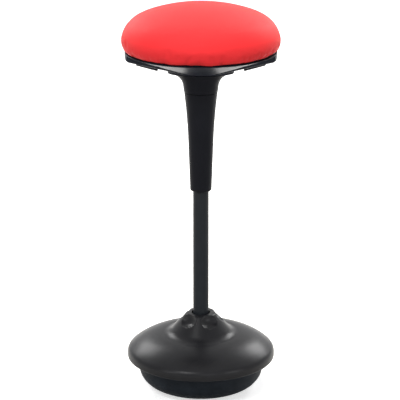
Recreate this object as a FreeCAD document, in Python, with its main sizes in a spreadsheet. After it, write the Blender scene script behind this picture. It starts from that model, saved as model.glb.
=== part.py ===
import FreeCAD, Part
import math
import os
import re

import Sketcher

# Wobble stool: a round cushion on a telescopic column over a rounded, weighted base.
# Millimetres. The origin is where the middle of the foot meets the floor, and +Z is up.
# The column is drawn fully raised. +X points to the user's right hand, -Y to the front.

SIZES = [
    # Foot and lower bowl
    ("foot_pad_radius", 52, "rubber disc under the bowl"),
    ("foot_pad_thick", 4, "its thickness"),
    ("foot_pad_proud", 1, "how far it stands out of the bowl"),
    ("foot_pad_play", 0.3, "gap round it in its recess"),
    ("rocker_radius", 200, "rolling curve of the bowl's underside"),
    ("rocker_edge", 105, "radius where the rolling curve meets the shoulder"),
    ("bowl_shoulder", 42, "rounding between the underside and the side"),
    ("bowl_wall", 5, "wall of the bowl"),
    ("bowl_floor", 9, "height of its flat inner floor"),
    ("bowl_floor_inset", 21, "that floor's edge inside the rolling curve's edge"),
    ("bowl_side_flare", 1.1, "how far its side leans out up to the lip"),
    ("bowl_lip_height", 70, "height of the lip"),
    ("bowl_flange_thick", 3.5, "flange that carries the cover"),
    # Base cover
    ("cover_radius", 161, "widest radius of the base"),
    ("cover_rim_rise", 10, "widest place above the lip"),
    ("cover_rim_round", 16, "rounding of the rim"),
    ("cover_rim_sweep", 50, "degrees of that rounding"),
    ("cover_crown_round", 130, "section radius of the dome"),
    ("cover_wall", 4, "wall of the cover"),
    ("cover_lip_round", 3, "rounding under the rim"),
    ("cover_seat_play", 0.3, "gap between the cover's rim and the bowl's flange"),
    ("hub_height", 169, "top of the raised hub"),
    ("hub_top_radius", 32, "edge of the hub's flat top"),
    ("hub_edge_round", 6, "rounding of that edge"),
    ("hub_foot_round", 30, "hollow fillet at the hub's foot"),
    ("hub_bore_radius", 20.5, "hole that the column passes through"),
    ("hub_side", 17, "thickness of the hub's sloping side, measured level"),
    ("hub_roof", 19, "thickness of the hub's top"),
    # Dimples round the hub
    ("dimple_count", 5, "scooped dimples round the hub"),
    ("dimple_radius", 20, "radius of the scooping ball"),
    ("dimple_depth", 8, "depth of each dimple"),
    ("dimple_reach", 42, "distance of the dimples from the axis"),
    ("dimple_turn", 28, "degrees from the front to the first dimple"),
    # Screws between bowl and cover
    ("cover_screw_count", 5, "screws round the base"),
    ("cover_screw_circle", 112, "their distance from the axis"),
    ("well_radius", 8, "outer radius of a screw well"),
    ("well_bore", 5.5, "inner radius of a screw well"),
    ("well_top", 60, "height where bowl and cover posts meet"),
    ("well_roof", 4, "thickness under the screw head"),
    ("screw_head_radius", 4.5, "screw head"),
    ("screw_head_height", 3.5, "its height"),
    ("screw_radius", 2, "screw shank"),
    ("screw_length", 26, "shank length"),
    ("screw_play", 0.4, "clearance hole round a shank"),
    ("post_radius", 7, "post under the cover"),
    # Ballast
    ("ballast_bore", 26, "inner radius of the ballast ring"),
    ("ballast_inset", 7, "its edge inside the rolling curve's edge"),
    ("ballast_bevel", 16, "width of its lower bevel"),
    ("ballast_rise", 8, "height of that bevel"),
    ("ballast_thick", 21, "thickness"),
    # Column socket and its bolts
    ("socket_plate_radius", 62, "round flange under the column"),
    ("socket_plate_thick", 5, "its thickness"),
    ("socket_wall", 3, "wall of the cup that holds the tube"),
    ("socket_height", 80, "height of the cup above the flange"),
    ("socket_hole", 10, "hole under the column"),
    ("column_bolt_count", 4, "bolts through ballast and flange"),
    ("column_bolt_circle", 42, "their distance from the axis"),
    ("column_bolt_radius", 4, "bolt shank"),
    ("column_bolt_head", 7, "bolt head radius"),
    ("column_bolt_head_height", 4, "bolt head height"),
    ("column_bolt_tail", 3, "bolt beyond its nut"),
    ("column_nut_height", 6, "nut height"),
    ("column_nut_across", 13, "nut across flats"),
    # Lower tube, bush and bearing
    ("tube_radius", 17, "outer radius of the lower tube"),
    ("tube_wall", 1.6, "its wall"),
    ("tube_overlap", 20, "how far it stands inside the raised sleeve"),
    ("tube_floor_rise", 9, "height of its inner floor above its end"),
    ("tube_floor_thick", 4, "thickness of that floor"),
    ("bush_length", 70, "guide bush in the tube's top"),
    ("washer_thick", 2, "bearing washers"),
    ("washer_radius", 13, "their outer radius"),
    ("ball_radius", 2.4, "bearing balls"),
    ("ball_count", 8, "number of balls"),
    ("ball_circle", 9.4, "distance of the balls from the axis"),
    ("ball_play", 0.1, "gap over and under a ball"),
    ("cage_thick", 1.6, "thickness of the ball cage"),
    # Gas spring
    ("rod_radius", 5, "piston rod"),
    ("rod_shoulder_radius", 8, "shoulder that rests on the bearing"),
    ("rod_shoulder_height", 4, "its height"),
    ("rod_tail", 7, "rod below the tube's floor"),
    ("clip_thick", 1.5, "spring clip on the rod"),
    ("clip_radius", 8.5, "its outer radius"),
    ("clip_groove", 1, "depth of its groove"),
    ("bumper_radius", 12, "rubber stop round the rod"),
    ("bumper_height", 24, "its height"),
    ("cylinder_radius", 14, "outer radius of the gas cylinder"),
    ("cylinder_wall", 2, "its wall"),
    ("cylinder_cap", 12, "closed end round the rod"),
    ("cylinder_head", 68, "solid top that holds the valve"),
    ("piston_height", 12, "piston"),
    ("piston_rest", 4, "gap under the piston when raised"),
    ("taper_top_radius", 13.3, "cylinder radius at its tapered top"),
    ("running_play", 0.05, "radial clearance of a shaft that runs in a hole"),
    ("travel", 215, "height adjustment"),
    # Upper sleeve and neck
    ("sleeve_bottom", 448, "lower end of the sleeve, raised"),
    ("sleeve_bottom_radius", 23, "outer radius there"),
    ("sleeve_straight", 107, "height of its straight foot"),
    ("sleeve_bend_radius", 26.8, "outer radius there"),
    ("sleeve_flare", 1260, "section radius of the flare"),
    ("sleeve_wall", 2.5, "wall"),
    ("sleeve_lip", 4, "height of the turned-in lower lip"),
    ("sleeve_lip_play", 0.8, "gap between that lip and the tube"),
    ("sleeve_edge_round", 2.5, "rounding of the lower edge"),
    ("spigot_height", 15, "sleeve end that plugs into the neck"),
    ("sleeve_height", 217, "from its lower end to the neck"),
    ("seam_gap", 1, "open groove at the neck's seams"),
    ("seam_step", 1.5, "depth of the groove over the neck"),
    ("neck_bottom_radius", 35.6, "outer radius at that seam"),
    ("neck_height", 41, "from that seam to the seam under the dish"),
    ("neck_waist_rise", 17, "where the neck starts to spread sideways"),
    ("neck_waist_width", 38.4, "half width there"),
    ("neck_mid_rise", 29, "middle of the spread"),
    ("neck_mid_width", 44.5, "half width there"),
    ("neck_flare_rise", 36, "where it turns out to the wings"),
    ("neck_flare_width", 53.5, "half width there"),
    ("neck_top_width", 70, "half width at the top seam"),
    ("neck_depth", 39, "half depth of the neck at the top, front to back"),
    ("neck_wall", 4, "wall"),
    ("part_play", 0.3, "seam gap between moulded parts"),
    # Seat dish and wings
    ("dish_inset", 7.8, "rim of the dish inside the cushion's widest radius"),
    ("dish_height", 46, "from the neck to the top of the rim"),
    ("dish_rim", 1, "height of the rim's upright face"),
    ("dish_wall", 4, "wall of the cone"),
    ("dish_hole", 31, "hole in the middle"),
    ("dish_rib_gap", 4, "gap between the cover's hem and the ring under the board"),
    ("dish_rib_thick", 3, "thickness of that ring"),
    ("wing_half_depth", 40, "half depth of a wing, front to back"),
    ("wing_root_reach", 35, "distance of the wing's root from the axis"),
    ("wing_root_rise", 0.8, "its underside there, above the neck's seam"),
    ("wing_knee_reach", 60, "where the underside turns flatter"),
    ("wing_knee_rise", 7.2, "its rise there"),
    ("wing_heel_inset", 8.5, "heel of the wing inside the rim"),
    ("wing_heel_rise", 27.7, "rise of the heel"),
    ("wing_tip_overhang", 5, "end of the slope behind the heel, beyond the rim"),
    ("wing_tip_rise", 38.7, "rise of that end"),
    ("wing_wall", 3.5, "wall of a wing"),
    ("wing_edge_round", 7, "rounding of the lower long edges"),
    ("landing_thick", 10, "oval landing between neck and dish"),
    ("window_lead", 8, "paddle window inside the paddle's inner end"),
    ("window_margin", 11.5, "paddle window inside the heel"),
    ("window_half_depth", 17.5, "half depth of the window"),
    # Seat board, bracket and fasteners
    ("board_margin", 7, "plywood board inside the cover's turned edge"),
    ("board_thick", 12, "its thickness"),
    ("board_gap", 2, "board above the dish's rim"),
    ("bracket_length", 104, "steel channel under the board"),
    ("bracket_half_width", 23, "outer half width of the channel"),
    ("bracket_wall", 3, "sheet thickness"),
    ("bracket_rise", 12.2, "underside of the channel above the neck's seam"),
    ("bracket_flange", 62, "half width over the flanges"),
    ("bolt_reach", 42, "bolts along the channel"),
    ("bolt_spread", 45, "bolts across the channel"),
    ("bolt_radius", 3, "bolt shank"),
    ("bolt_head_radius", 5.5, "bolt head"),
    ("bolt_head_height", 4, "bolt head height"),
    ("tee_radius", 10, "tee nut flange"),
    ("tee_thick", 1.5, "its thickness"),
    ("tee_barrel", 4.5, "tee nut barrel"),
    ("shell_screw_inset", 16, "screws that hold the dish, inside its ring"),
    ("shell_screw_count", 4, "number of them"),
    ("shell_screw_radius", 2.2, "shank"),
    ("shell_screw_head", 4.5, "head radius"),
    ("shell_screw_length", 18, "shank length"),
    ("shell_post_radius", 6.2, "post round a screw"),
    ("shell_well_bore", 4.8, "well that its head sits in"),
    ("shell_seat_depth", 8, "head seat below the board"),
    # Taper socket
    ("taper_socket_radius", 18.5, "outer radius of the welded socket"),
    ("taper_socket_drop", 30.5, "its lower end below the channel"),
    ("cylinder_drop", 1, "cylinder's top below the channel's inner floor"),
    # Cushion
    ("cushion_crown_rise", 84, "crown of the cushion above its widest place"),
    ("cushion_radius", 167.8, "widest radius of the cushion"),
    ("cushion_waist_rise", 11, "widest place above the bottom edge"),
    ("cushion_shoulder", 64.7, "section radius of the shoulder"),
    ("cushion_draw_in", 5.1, "how far the bottom edge is drawn in"),
    ("cushion_lift", 5, "bottom edge above the dish's rim"),
    ("cushion_tuck_in", 5.7, "how far the cover turns under"),
    ("cover_hem_width", 12, "width of the cover's hem"),
    ("fabric_thick", 1.5, "cover fabric"),
    ("soft_play", 0.3, "gap between fabric, foam and board"),
    # Levers and valve
    ("pivot_reach", 40, "lever pivots from the axis"),
    ("pivot_rise", 12.5, "their height above the channel's underside"),
    ("pin_radius", 3, "pivot pins"),
    ("pin_head_radius", 5, "their heads"),
    ("pin_head_thick", 2, "their head thickness"),
    ("barrel_radius", 7, "lever's barrel round its pin"),
    ("side_play", 0.3, "side gap of a moving part"),
    ("arm_inner", 3.8, "arm's face nearest the middle plane"),
    ("arm_thick", 6, "arm thickness"),
    ("nose_radius", 7, "rounded nose"),
    ("slot_half_length", 1.5, "sideways play of the presser pin in its slot"),
    ("slot_play", 0.15, "play of the presser pin across its slot"),
    ("arm_half_height", 3.5, "half height of the arm behind its pivot"),
    ("paddle_inner", 90, "inner end of the paddle"),
    ("paddle_end_play", 4, "gap between the paddle and its window's end"),
    ("paddle_drop", 20, "paddle's underside below the pivot, at its inner end"),
    ("paddle_rise", 12.5, "its rise to its outer end"),
    ("paddle_thick", 8, "its thickness"),
    ("paddle_half_depth", 16, "its half depth, front to back"),
    ("paddle_round", 2, "rounding of its edges"),
    ("presser_pin_radius", 3, "cross pin that the noses push"),
    ("presser_rise", 3, "its height above the pivots"),
    ("presser_half_width", 5.5, "half width of the presser block"),
    ("presser_half_depth", 3, "half depth of the presser block"),
    ("valve_pin_radius", 3.5, "release pin of the gas spring"),
    ("valve_pin_length", 40, "its length"),
    ("presser_depth", 5, "top of the release pin below the cross pin"),
    ("valve_stroke", 4.2, "travel of the release pin"),
]

# Places that follow from the sizes above

PLACES = [
    ("bowl_floor_radius", "rocker_edge - bowl_floor_inset"),
    ("ballast_radius", "rocker_edge - ballast_inset"),
    ("cover_rim_height", "bowl_lip_height + cover_rim_rise"),
    ("sleeve_bend_height", "sleeve_bottom + sleeve_straight"),
    ("neck_bottom", "sleeve_bottom + sleeve_height"),
    ("neck_waist_height", "neck_bottom + neck_waist_rise"),
    ("neck_mid_height", "neck_bottom + neck_mid_rise"),
    ("neck_flare_height", "neck_bottom + neck_flare_rise"),
    ("neck_top", "neck_bottom + neck_height"),
    ("dish_base", "neck_top + part_play"),
    ("dish_top", "neck_top + dish_height"),
    ("dish_rim_bottom", "dish_top - dish_rim"),
    ("dish_radius", "cushion_radius - dish_inset"),
    ("cushion_edge_radius", "cushion_radius - cushion_draw_in"),
    ("cushion_tuck_radius", "cushion_edge_radius - cushion_tuck_in"),
    ("cover_hem_radius", "cushion_tuck_radius - cover_hem_width"),
    ("cushion_edge_height", "dish_top + cushion_lift"),
    ("cushion_waist_height", "cushion_edge_height + cushion_waist_rise"),
    ("cushion_top", "cushion_waist_height + cushion_crown_rise"),
    ("dish_rib_radius", "cover_hem_radius - dish_rib_gap"),
    ("shell_screw_circle", "dish_rib_radius - shell_screw_inset"),
    ("board_radius", "cushion_tuck_radius - board_margin"),
    ("wing_root_height", "dish_base + wing_root_rise"),
    ("wing_knee_height", "dish_base + wing_knee_rise"),
    ("wing_heel_reach", "dish_radius - wing_heel_inset"),
    ("wing_heel_height", "dish_base + wing_heel_rise"),
    ("wing_tip_reach", "dish_radius + wing_tip_overhang"),
    ("wing_tip_height", "dish_base + wing_tip_rise"),
    ("window_inner", "paddle_inner - window_lead"),
    ("window_outer", "wing_heel_reach - window_margin"),
    ("bracket_floor", "dish_base + bracket_rise"),
    ("taper_socket_bottom", "bracket_floor - taper_socket_drop"),
    ("pivot_height", "bracket_floor + pivot_rise"),
    ("presser_pin_height", "pivot_height + presser_rise"),
    ("valve_pin_top", "presser_pin_height - presser_depth"),
    ("paddle_outer", "window_outer - paddle_end_play"),
    ("paddle_low_inner", "pivot_height - paddle_drop"),
    ("paddle_low_outer", "paddle_low_inner + paddle_rise"),
]
NEAR = 0.01

doc = FreeCAD.newDocument("WobbleStool")
sizes = doc.addObject("Spreadsheet::Sheet", "Sizes")
for row, (alias, number, note) in enumerate(SIZES, start=1):
    sizes.set(f"A{row}", alias)
    sizes.set(f"B{row}", str(number))
    sizes.setAlias(f"B{row}", alias)
    sizes.set(f"C{row}", note)
for row, (alias, formula) in enumerate(PLACES, start=len(SIZES) + 1):
    sizes.set(f"A{row}", alias)
    sizes.set(f"B{row}", f"={formula}")
    sizes.setAlias(f"B{row}", alias)
doc.recompute()
NAMES = {entry[0] for entry in SIZES + PLACES}

# Lengths that follow from the sizes, as expressions

CROWN_REACH = ("(cover_radius - cover_rim_round"
               " + (cover_rim_round - cover_crown_round) * cos(cover_rim_sweep))")
CROWN_BASE = "(cover_rim_height + (cover_rim_round - cover_crown_round) * sin(cover_rim_sweep))"
CROWN_TOP = f"({CROWN_BASE} + cover_crown_round)"
BOWL_START = "(foot_pad_radius + foot_pad_play)"
BOWL_EDGE_RISE = ("(foot_pad_proud + rocker_radius"
                  f" - sqrt(rocker_radius^2 - (rocker_edge - {BOWL_START})^2))")
ROCKER_TURN = f"asin((rocker_edge - {BOWL_START}) / rocker_radius)"
SHOULDER_REACH = f"(rocker_edge - bowl_shoulder * sin({ROCKER_TURN}))"
SHOULDER_RISE = f"({BOWL_EDGE_RISE} + bowl_shoulder * cos({ROCKER_TURN}))"
BOWL_LIP_RADIUS = f"({SHOULDER_REACH} + bowl_shoulder + bowl_side_flare)"
SOCKET_BASE = "(bowl_floor + ballast_thick)"
TUBE_BOTTOM = f"({SOCKET_BASE} + socket_plate_thick)"
TUBE_TOP = "(sleeve_bottom + tube_overlap)"
TUBE_BORE = "(tube_radius - tube_wall)"
TUBE_FLOOR = f"({TUBE_BOTTOM} + tube_floor_rise + tube_floor_thick)"
CAGE_BASE = f"({TUBE_FLOOR} + washer_thick)"
UPPER_WASHER_BASE = f"({CAGE_BASE} + 2 * ball_radius + 2 * ball_play)"
SHOULDER_BASE = f"({UPPER_WASHER_BASE} + washer_thick)"
BUMPER_BASE = f"({SHOULDER_BASE} + rod_shoulder_height)"
BUSH_BASE = f"({TUBE_TOP} - bush_length)"
CYLINDER_BOTTOM = f"({BUSH_BASE} + washer_thick)"
PISTON_BASE = f"({CYLINDER_BOTTOM} + cylinder_cap + piston_rest)"
BRACKET_TOP = "(bracket_floor + bracket_wall)"
CYLINDER_TOP = f"({BRACKET_TOP} - cylinder_drop)"
BOARD_BASE = "(dish_top + board_gap)"
BOARD_TOP = f"({BOARD_BASE} + board_thick)"
DISH_SLOPE = "((dish_rim_bottom - dish_base) / (dish_radius - neck_depth))"
INNER_CONE = "(dish_base + dish_wall)"
WING_SLOPE = "((wing_heel_height - wing_knee_height) / (wing_heel_reach - wing_knee_reach))"
SCREW_TURN = "(shell_screw_circle * sin(45))"
SLEEVE_LEAN = ("atan((sleeve_bend_radius - sleeve_bottom_radius)"
               " / (sleeve_bend_height - sleeve_bottom))")
SLEEVE_TOP = "(neck_bottom - seam_gap)"
FLARE_END = f"asin(({SLEEVE_TOP} - sleeve_bend_height) / sleeve_flare + sin({SLEEVE_LEAN}))"
SLEEVE_TOP_RADIUS = f"(sleeve_bend_radius + sleeve_flare * (cos({SLEEVE_LEAN}) - cos({FLARE_END})))"
SPIGOT_RADIUS = "(neck_bottom_radius - neck_wall)"


def linked(expression):
    """Expression for another object: each size name points at the sheet."""
    def point(match):
        word = match.group(0)
        return "Sizes." + word if word in NAMES else word
    return re.sub(r"[A-Za-z_]\w*", point, str(expression))


def value_of(expression):
    """Number that an expression gives with the present sizes."""
    result = sizes.evalExpression(str(expression))
    return float(getattr(result, "Value", result))


def plane_of(body, role):
    """One of the body's own origin planes."""
    return next(item for item in body.Origin.OriginFeatures if item.Role == role)


def new_body(label, many=False):
    """Empty body; many allows separate solids in it."""
    body = doc.addObject("PartDesign::Body", label)
    body.Label = label
    body.AllowCompound = many
    return body


def new_sketch(body, name, role, offset=None):
    """Sketch on one of the body's origin planes, moved along its normal by offset."""
    sketch = body.newObject("Sketcher::SketchObject", f"{body.Label}_{name}")
    sketch.AttachmentSupport = [(plane_of(body, role), "")]
    sketch.MapMode = "FlatFace"
    if offset is not None:
        sketch.setExpression(".AttachmentOffset.Base.z", linked(offset))
    return sketch


def hold_point(sketch, geometry, end, across, up):
    """Pin one end of a sketch element to the given place."""
    for kind, axis, place in (("DistanceX", -2, across), ("DistanceY", -1, up)):
        if str(place) == "0":
            sketch.addConstraint(Sketcher.Constraint("PointOnObject", geometry, end, axis))
            continue
        index = sketch.addConstraint(
            Sketcher.Constraint(kind, -1, 1, geometry, end, value_of(place)))
        sketch.setExpression(f"Constraints[{index}]", linked(place))


def arc_between(start, finish, radius, side):
    """Arc under a half turn; side is +1 where its centre lies left of the way."""
    middle = (start + finish) / 2
    way = finish - start
    reach = math.sqrt(max(radius ** 2 - (way.Length / 2) ** 2, 0))
    left = FreeCAD.Vector(-way.y, way.x, 0).normalize()
    centre = middle + left * (reach * side)
    first, last = (start, finish) if side > 0 else (finish, start)
    angles = [math.atan2(point.y - centre.y, point.x - centre.x) for point in (first, last)]
    circle = Part.Circle(centre, FreeCAD.Vector(0, 0, 1), radius)
    return Part.ArcOfCircle(circle, angles[0], angles[1])


def draw_outline(sketch, corners):
    """Closed outline through corners (across, up) or (across, up, radius, side of an arc)."""
    places = [FreeCAD.Vector(value_of(corner[0]), value_of(corner[1]), 0) for corner in corners]
    starts = []
    ends = []
    for index, corner in enumerate(corners):
        start = places[index]
        finish = places[(index + 1) % len(corners)]
        if len(corner) == 2:
            geometry = sketch.addGeometry(Part.LineSegment(start, finish), False)
            starts.append((geometry, 1))
            ends.append((geometry, 2))
            continue
        radius, side = corner[2:]
        geometry = sketch.addGeometry(
            arc_between(start, finish, value_of(radius), side), False)
        number = sketch.addConstraint(
            Sketcher.Constraint("Radius", geometry, value_of(radius)))
        sketch.setExpression(f"Constraints[{number}]", linked(radius))
        starts.append((geometry, 1 if side > 0 else 2))
        ends.append((geometry, 2 if side > 0 else 1))
    for index, corner in enumerate(corners):
        joined = ends[index - 1]
        sketch.addConstraint(Sketcher.Constraint("Coincident", *joined, *starts[index]))
        hold_point(sketch, *starts[index], corner[0], corner[1])


def draw_circle(sketch, across, up, radius):
    """Circle with its centre and radius held."""
    centre = FreeCAD.Vector(value_of(across), value_of(up), 0)
    circle = Part.Circle(centre, FreeCAD.Vector(0, 0, 1), value_of(radius))
    geometry = sketch.addGeometry(circle, False)
    number = sketch.addConstraint(Sketcher.Constraint("Radius", geometry, value_of(radius)))
    sketch.setExpression(f"Constraints[{number}]", linked(radius))
    if str(across) == "0" and str(up) == "0":
        sketch.addConstraint(Sketcher.Constraint("Coincident", geometry, 3, -1, 1))
    else:
        hold_point(sketch, geometry, 3, across, up)


def draw_ellipse(sketch, half_width, half_depth):
    """Ellipse round the origin, wider across than up."""
    wide = value_of(half_width)
    deep = value_of(half_depth)
    ellipse = Part.Ellipse(
        FreeCAD.Vector(wide, 0, 0), FreeCAD.Vector(0, deep, 0), FreeCAD.Vector(0, 0, 0))
    geometry = sketch.addGeometry(ellipse, False)
    sketch.exposeInternalGeometry(geometry)
    sketch.addConstraint(Sketcher.Constraint("Coincident", geometry, 3, -1, 1))
    major = geometry + 1
    minor = geometry + 2
    sketch.addConstraint(Sketcher.Constraint("PointOnObject", major, 1, -1))
    for axis_line, half in ((major, half_width), (minor, half_depth)):
        number = sketch.addConstraint(
            Sketcher.Constraint("Distance", axis_line, 2 * value_of(half)))
        sketch.setExpression(f"Constraints[{number}]", linked(f"2 * ({half})"))


def check_cut(body, before, name):
    """Stop where a cut removed nothing."""
    doc.recompute()
    if body.Shape.Volume >= before - 1e-6:
        raise RuntimeError(f"{body.Label} {name} cuts nothing")


def revolve(body, name, corners, cut=False):
    """Turn an outline, given as (radius, height) corners, round the vertical axis."""
    before = body.Shape.Volume if cut else 0
    sketch = new_sketch(body, f"{name}_outline", "XZ_Plane")
    draw_outline(sketch, corners)
    kind = "PartDesign::Groove" if cut else "PartDesign::Revolution"
    feature = body.newObject(kind, f"{body.Label}_{name}")
    feature.Profile = sketch
    feature.ReferenceAxis = (sketch, ["V_Axis"])
    feature.Angle = 360
    doc.recompute()
    if cut:
        check_cut(body, before, name)
    return feature


def extrude(body, name, sketch, length, both_ways=False, cut=False, down=False):
    """Pad or pocket of a sketch: along its normal, against it, or half each way."""
    before = body.Shape.Volume if cut else 0
    kind = "PartDesign::Pocket" if cut else "PartDesign::Pad"
    feature = body.newObject(kind, f"{body.Label}_{name}")
    feature.Profile = sketch
    feature.SideType = "Symmetric" if both_ways else "One side"
    feature.Reversed = (not down) if cut else down
    feature.setExpression("Length", linked(length))
    doc.recompute()
    if cut:
        check_cut(body, before, name)
    return feature


def ring_pattern(body, features, count):
    """Repeat features evenly round the vertical axis."""
    pattern = body.newObject("PartDesign::PolarPattern", f"{features[0].Name}_ring")
    pattern.Originals = features
    pattern.Axis = (next(item for item in body.Origin.OriginFeatures
                         if item.Role == "Z_Axis"), [""])
    pattern.Angle = 360
    pattern.setExpression("Occurrences", linked(count))
    body.Tip = pattern
    doc.recompute()
    return pattern


def circle_edges(shape, radius, height):
    """Names of the level circular edges with this radius and height."""
    names = []
    for number, edge in enumerate(shape.Edges, start=1):
        if not isinstance(edge.Curve, Part.Circle):
            continue
        same_radius = abs(edge.Curve.Radius - value_of(radius)) < NEAR
        same_height = abs(edge.Curve.Center.z - value_of(height)) < NEAR
        if same_radius and same_height:
            names.append(f"Edge{number}")
    return names


def fillet(body, name, base, edges, radius):
    """Round the named edges of the last feature."""
    if not edges:
        raise RuntimeError(f"{body.Label} {name} found no edge")
    feature = body.newObject("PartDesign::Fillet", f"{body.Label}_{name}")
    feature.Base = (base, edges)
    feature.setExpression("Radius", linked(radius))
    doc.recompute()
    return feature


def tube_piece(label, outer, inner, bottom, top):
    """Plain ring or tube: one turned rectangle."""
    body = new_body(label)
    revolve(body, "ring", [(inner, bottom), (outer, bottom), (outer, top), (inner, top)])
    return body


# Lower bowl

def make_foot_pad():
    """Flat rubber disc that carries the stool on the floor."""
    body = new_body("foot_pad")
    sketch = new_sketch(body, "disc", "XY_Plane")
    draw_circle(sketch, "0", "0", "foot_pad_radius")
    extrude(body, "pad", sketch, "foot_pad_thick")
    return body


def make_rocker_shell():
    """Rounded bowl: rolling underside, shoulder, side wall and the flange under the cover."""
    body = new_body("rocker_shell")
    inner_shoulder = "(bowl_shoulder - bowl_wall)"
    flange_top = "(bowl_lip_height + bowl_flange_thick)"
    flange_edge = "(cover_radius - cover_wall - cover_seat_play)"
    revolve(body, "bowl", [
        ("0", "foot_pad_thick"),
        (BOWL_START, "foot_pad_thick"),
        (BOWL_START, "foot_pad_proud", "rocker_radius", 1),
        ("rocker_edge", BOWL_EDGE_RISE, "bowl_shoulder", 1),
        (f"{SHOULDER_REACH} + bowl_shoulder", SHOULDER_RISE),
        (BOWL_LIP_RADIUS, "bowl_lip_height"),
        (flange_edge, "bowl_lip_height"),
        (flange_edge, flange_top),
        (f"{BOWL_LIP_RADIUS} - bowl_wall", flange_top),
        (f"{SHOULDER_REACH} + {inner_shoulder}", SHOULDER_RISE, inner_shoulder, -1),
        (f"{SHOULDER_REACH} + {inner_shoulder} * sin({ROCKER_TURN})",
         f"{SHOULDER_RISE} - {inner_shoulder} * cos({ROCKER_TURN})"),
        ("bowl_floor_radius", "bowl_floor"),
        ("0", "bowl_floor"),
    ])
    posts = new_sketch(body, "wells", "XY_Plane", "well_top")
    draw_circle(posts, "0", "-cover_screw_circle", "well_radius")
    post = extrude(body, "well", posts, "well_top - bowl_floor", down=True)
    ring_pattern(body, [post], "cover_screw_count")
    revolve(body, "underside", [
        (BOWL_START, "foot_pad_proud", "rocker_radius", 1),
        ("rocker_edge", BOWL_EDGE_RISE, "bowl_shoulder", 1),
        (f"{SHOULDER_REACH} + bowl_shoulder", SHOULDER_RISE),
        ("cover_radius", SHOULDER_RISE),
        ("cover_radius", "-foot_pad_thick"),
        (BOWL_START, "-foot_pad_thick"),
    ], cut=True)
    bores = new_sketch(body, "well_bores", "XY_Plane", "well_top - well_roof")
    draw_circle(bores, "0", "-cover_screw_circle", "well_bore")
    bore = extrude(body, "well_bore", bores, "well_top", cut=True, down=True)
    holes = new_sketch(body, "screw_holes", "XY_Plane", "well_top")
    draw_circle(holes, "0", "-cover_screw_circle", "screw_radius + screw_play")
    hole = extrude(body, "screw_hole", holes, "2 * well_roof", cut=True, down=True)
    ring_pattern(body, [bore, hole], "cover_screw_count")
    bolts = new_sketch(body, "bolt_holes", "XY_Plane", "bowl_floor")
    draw_circle(bolts, "column_bolt_circle", "0", "column_bolt_radius + screw_play")
    bolt_hole = extrude(body, "bolt_hole", bolts, "bowl_floor", cut=True, down=True)
    heads = new_sketch(body, "bolt_recesses", "XY_Plane",
                       "foot_pad_thick + column_bolt_head_height")
    draw_circle(heads, "column_bolt_circle", "0", "column_bolt_head + screw_play")
    recess = extrude(body, "bolt_recess", heads, "bowl_floor", cut=True, down=True)
    ring_pattern(body, [bolt_hole, recess], "column_bolt_count")
    return body


def make_ballast():
    """Iron ring in the bowl, bevelled underneath to clear the bowl's curve."""
    body = new_body("ballast")
    top = "bowl_floor + ballast_thick"
    revolve(body, "ring", [
        ("ballast_bore", "bowl_floor"),
        ("ballast_radius - ballast_bevel", "bowl_floor"),
        ("ballast_radius", "bowl_floor + ballast_rise"),
        ("ballast_radius", top),
        ("ballast_bore", top),
    ])
    sketch = new_sketch(body, "bolt_holes", "XY_Plane", top)
    draw_circle(sketch, "column_bolt_circle", "0", "column_bolt_radius + screw_play")
    hole = extrude(body, "bolt_hole", sketch, "ballast_thick", cut=True, down=True)
    ring_pattern(body, [hole], "column_bolt_count")
    return body


# Base cover

def make_base_cover():
    """Domed cover with a raised hub whose side is scooped into a ring of dimples."""
    body = new_body("base_cover")
    lip = "bowl_lip_height"
    rim_reach = "(cover_radius - cover_rim_round)"
    inner_round = "(cover_rim_round - cover_wall)"
    inner_crown = "(cover_crown_round - cover_wall)"
    slope = f"(({CROWN_REACH} - hub_top_radius) / (hub_height - {CROWN_TOP}))"
    inner_foot = f"({CROWN_TOP} - cover_wall)"
    inner_roof = "(hub_height - hub_roof)"
    shell = revolve(body, "dome", [
        ("hub_bore_radius", inner_roof),
        (f"hub_top_radius + hub_roof * {slope} - hub_side", inner_roof),
        (f"{CROWN_REACH} + cover_wall * {slope} - hub_side", inner_foot),
        (CROWN_REACH, inner_foot, inner_crown, -1),
        (f"{rim_reach} + {inner_round} * cos(cover_rim_sweep)",
         f"cover_rim_height + {inner_round} * sin(cover_rim_sweep)", inner_round, -1),
        ("cover_radius - cover_wall", "cover_rim_height"),
        ("cover_radius - cover_wall", lip),
        ("cover_radius", lip),
        ("cover_radius", "cover_rim_height", "cover_rim_round", 1),
        (f"{rim_reach} + cover_rim_round * cos(cover_rim_sweep)",
         f"cover_rim_height + cover_rim_round * sin(cover_rim_sweep)", "cover_crown_round", 1),
        (CROWN_REACH, CROWN_TOP),
        ("hub_top_radius", "hub_height"),
        ("hub_bore_radius", "hub_height"),
    ])
    foot = fillet(body, "foot", shell, circle_edges(shell.Shape, CROWN_REACH, CROWN_TOP),
                  "hub_foot_round")
    edge = fillet(body, "edge", foot, circle_edges(foot.Shape, "hub_top_radius", "hub_height"),
                  "hub_edge_round")
    fillet(body, "lip", edge, circle_edges(edge.Shape, "cover_radius", lip), "cover_lip_round")
    posts = new_sketch(body, "posts", "XY_Plane", "well_top")
    draw_circle(posts, "0", "-cover_screw_circle", "post_radius")
    post_top = (f"{CROWN_BASE} + sqrt({inner_crown}^2"
                f" - (cover_screw_circle + post_radius - {CROWN_REACH})^2)")
    post = extrude(body, "post", posts, f"{post_top} + cover_wall / 2 - well_top")
    pilots = new_sketch(body, "pilots", "XY_Plane", "well_top")
    draw_circle(pilots, "0", "-cover_screw_circle", "screw_radius + running_play")
    pilot = extrude(body, "pilot", pilots, "screw_length", cut=True)
    ring_pattern(body, [post, pilot], "cover_screw_count")
    add_dimples(body, slope)
    return body


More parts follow.
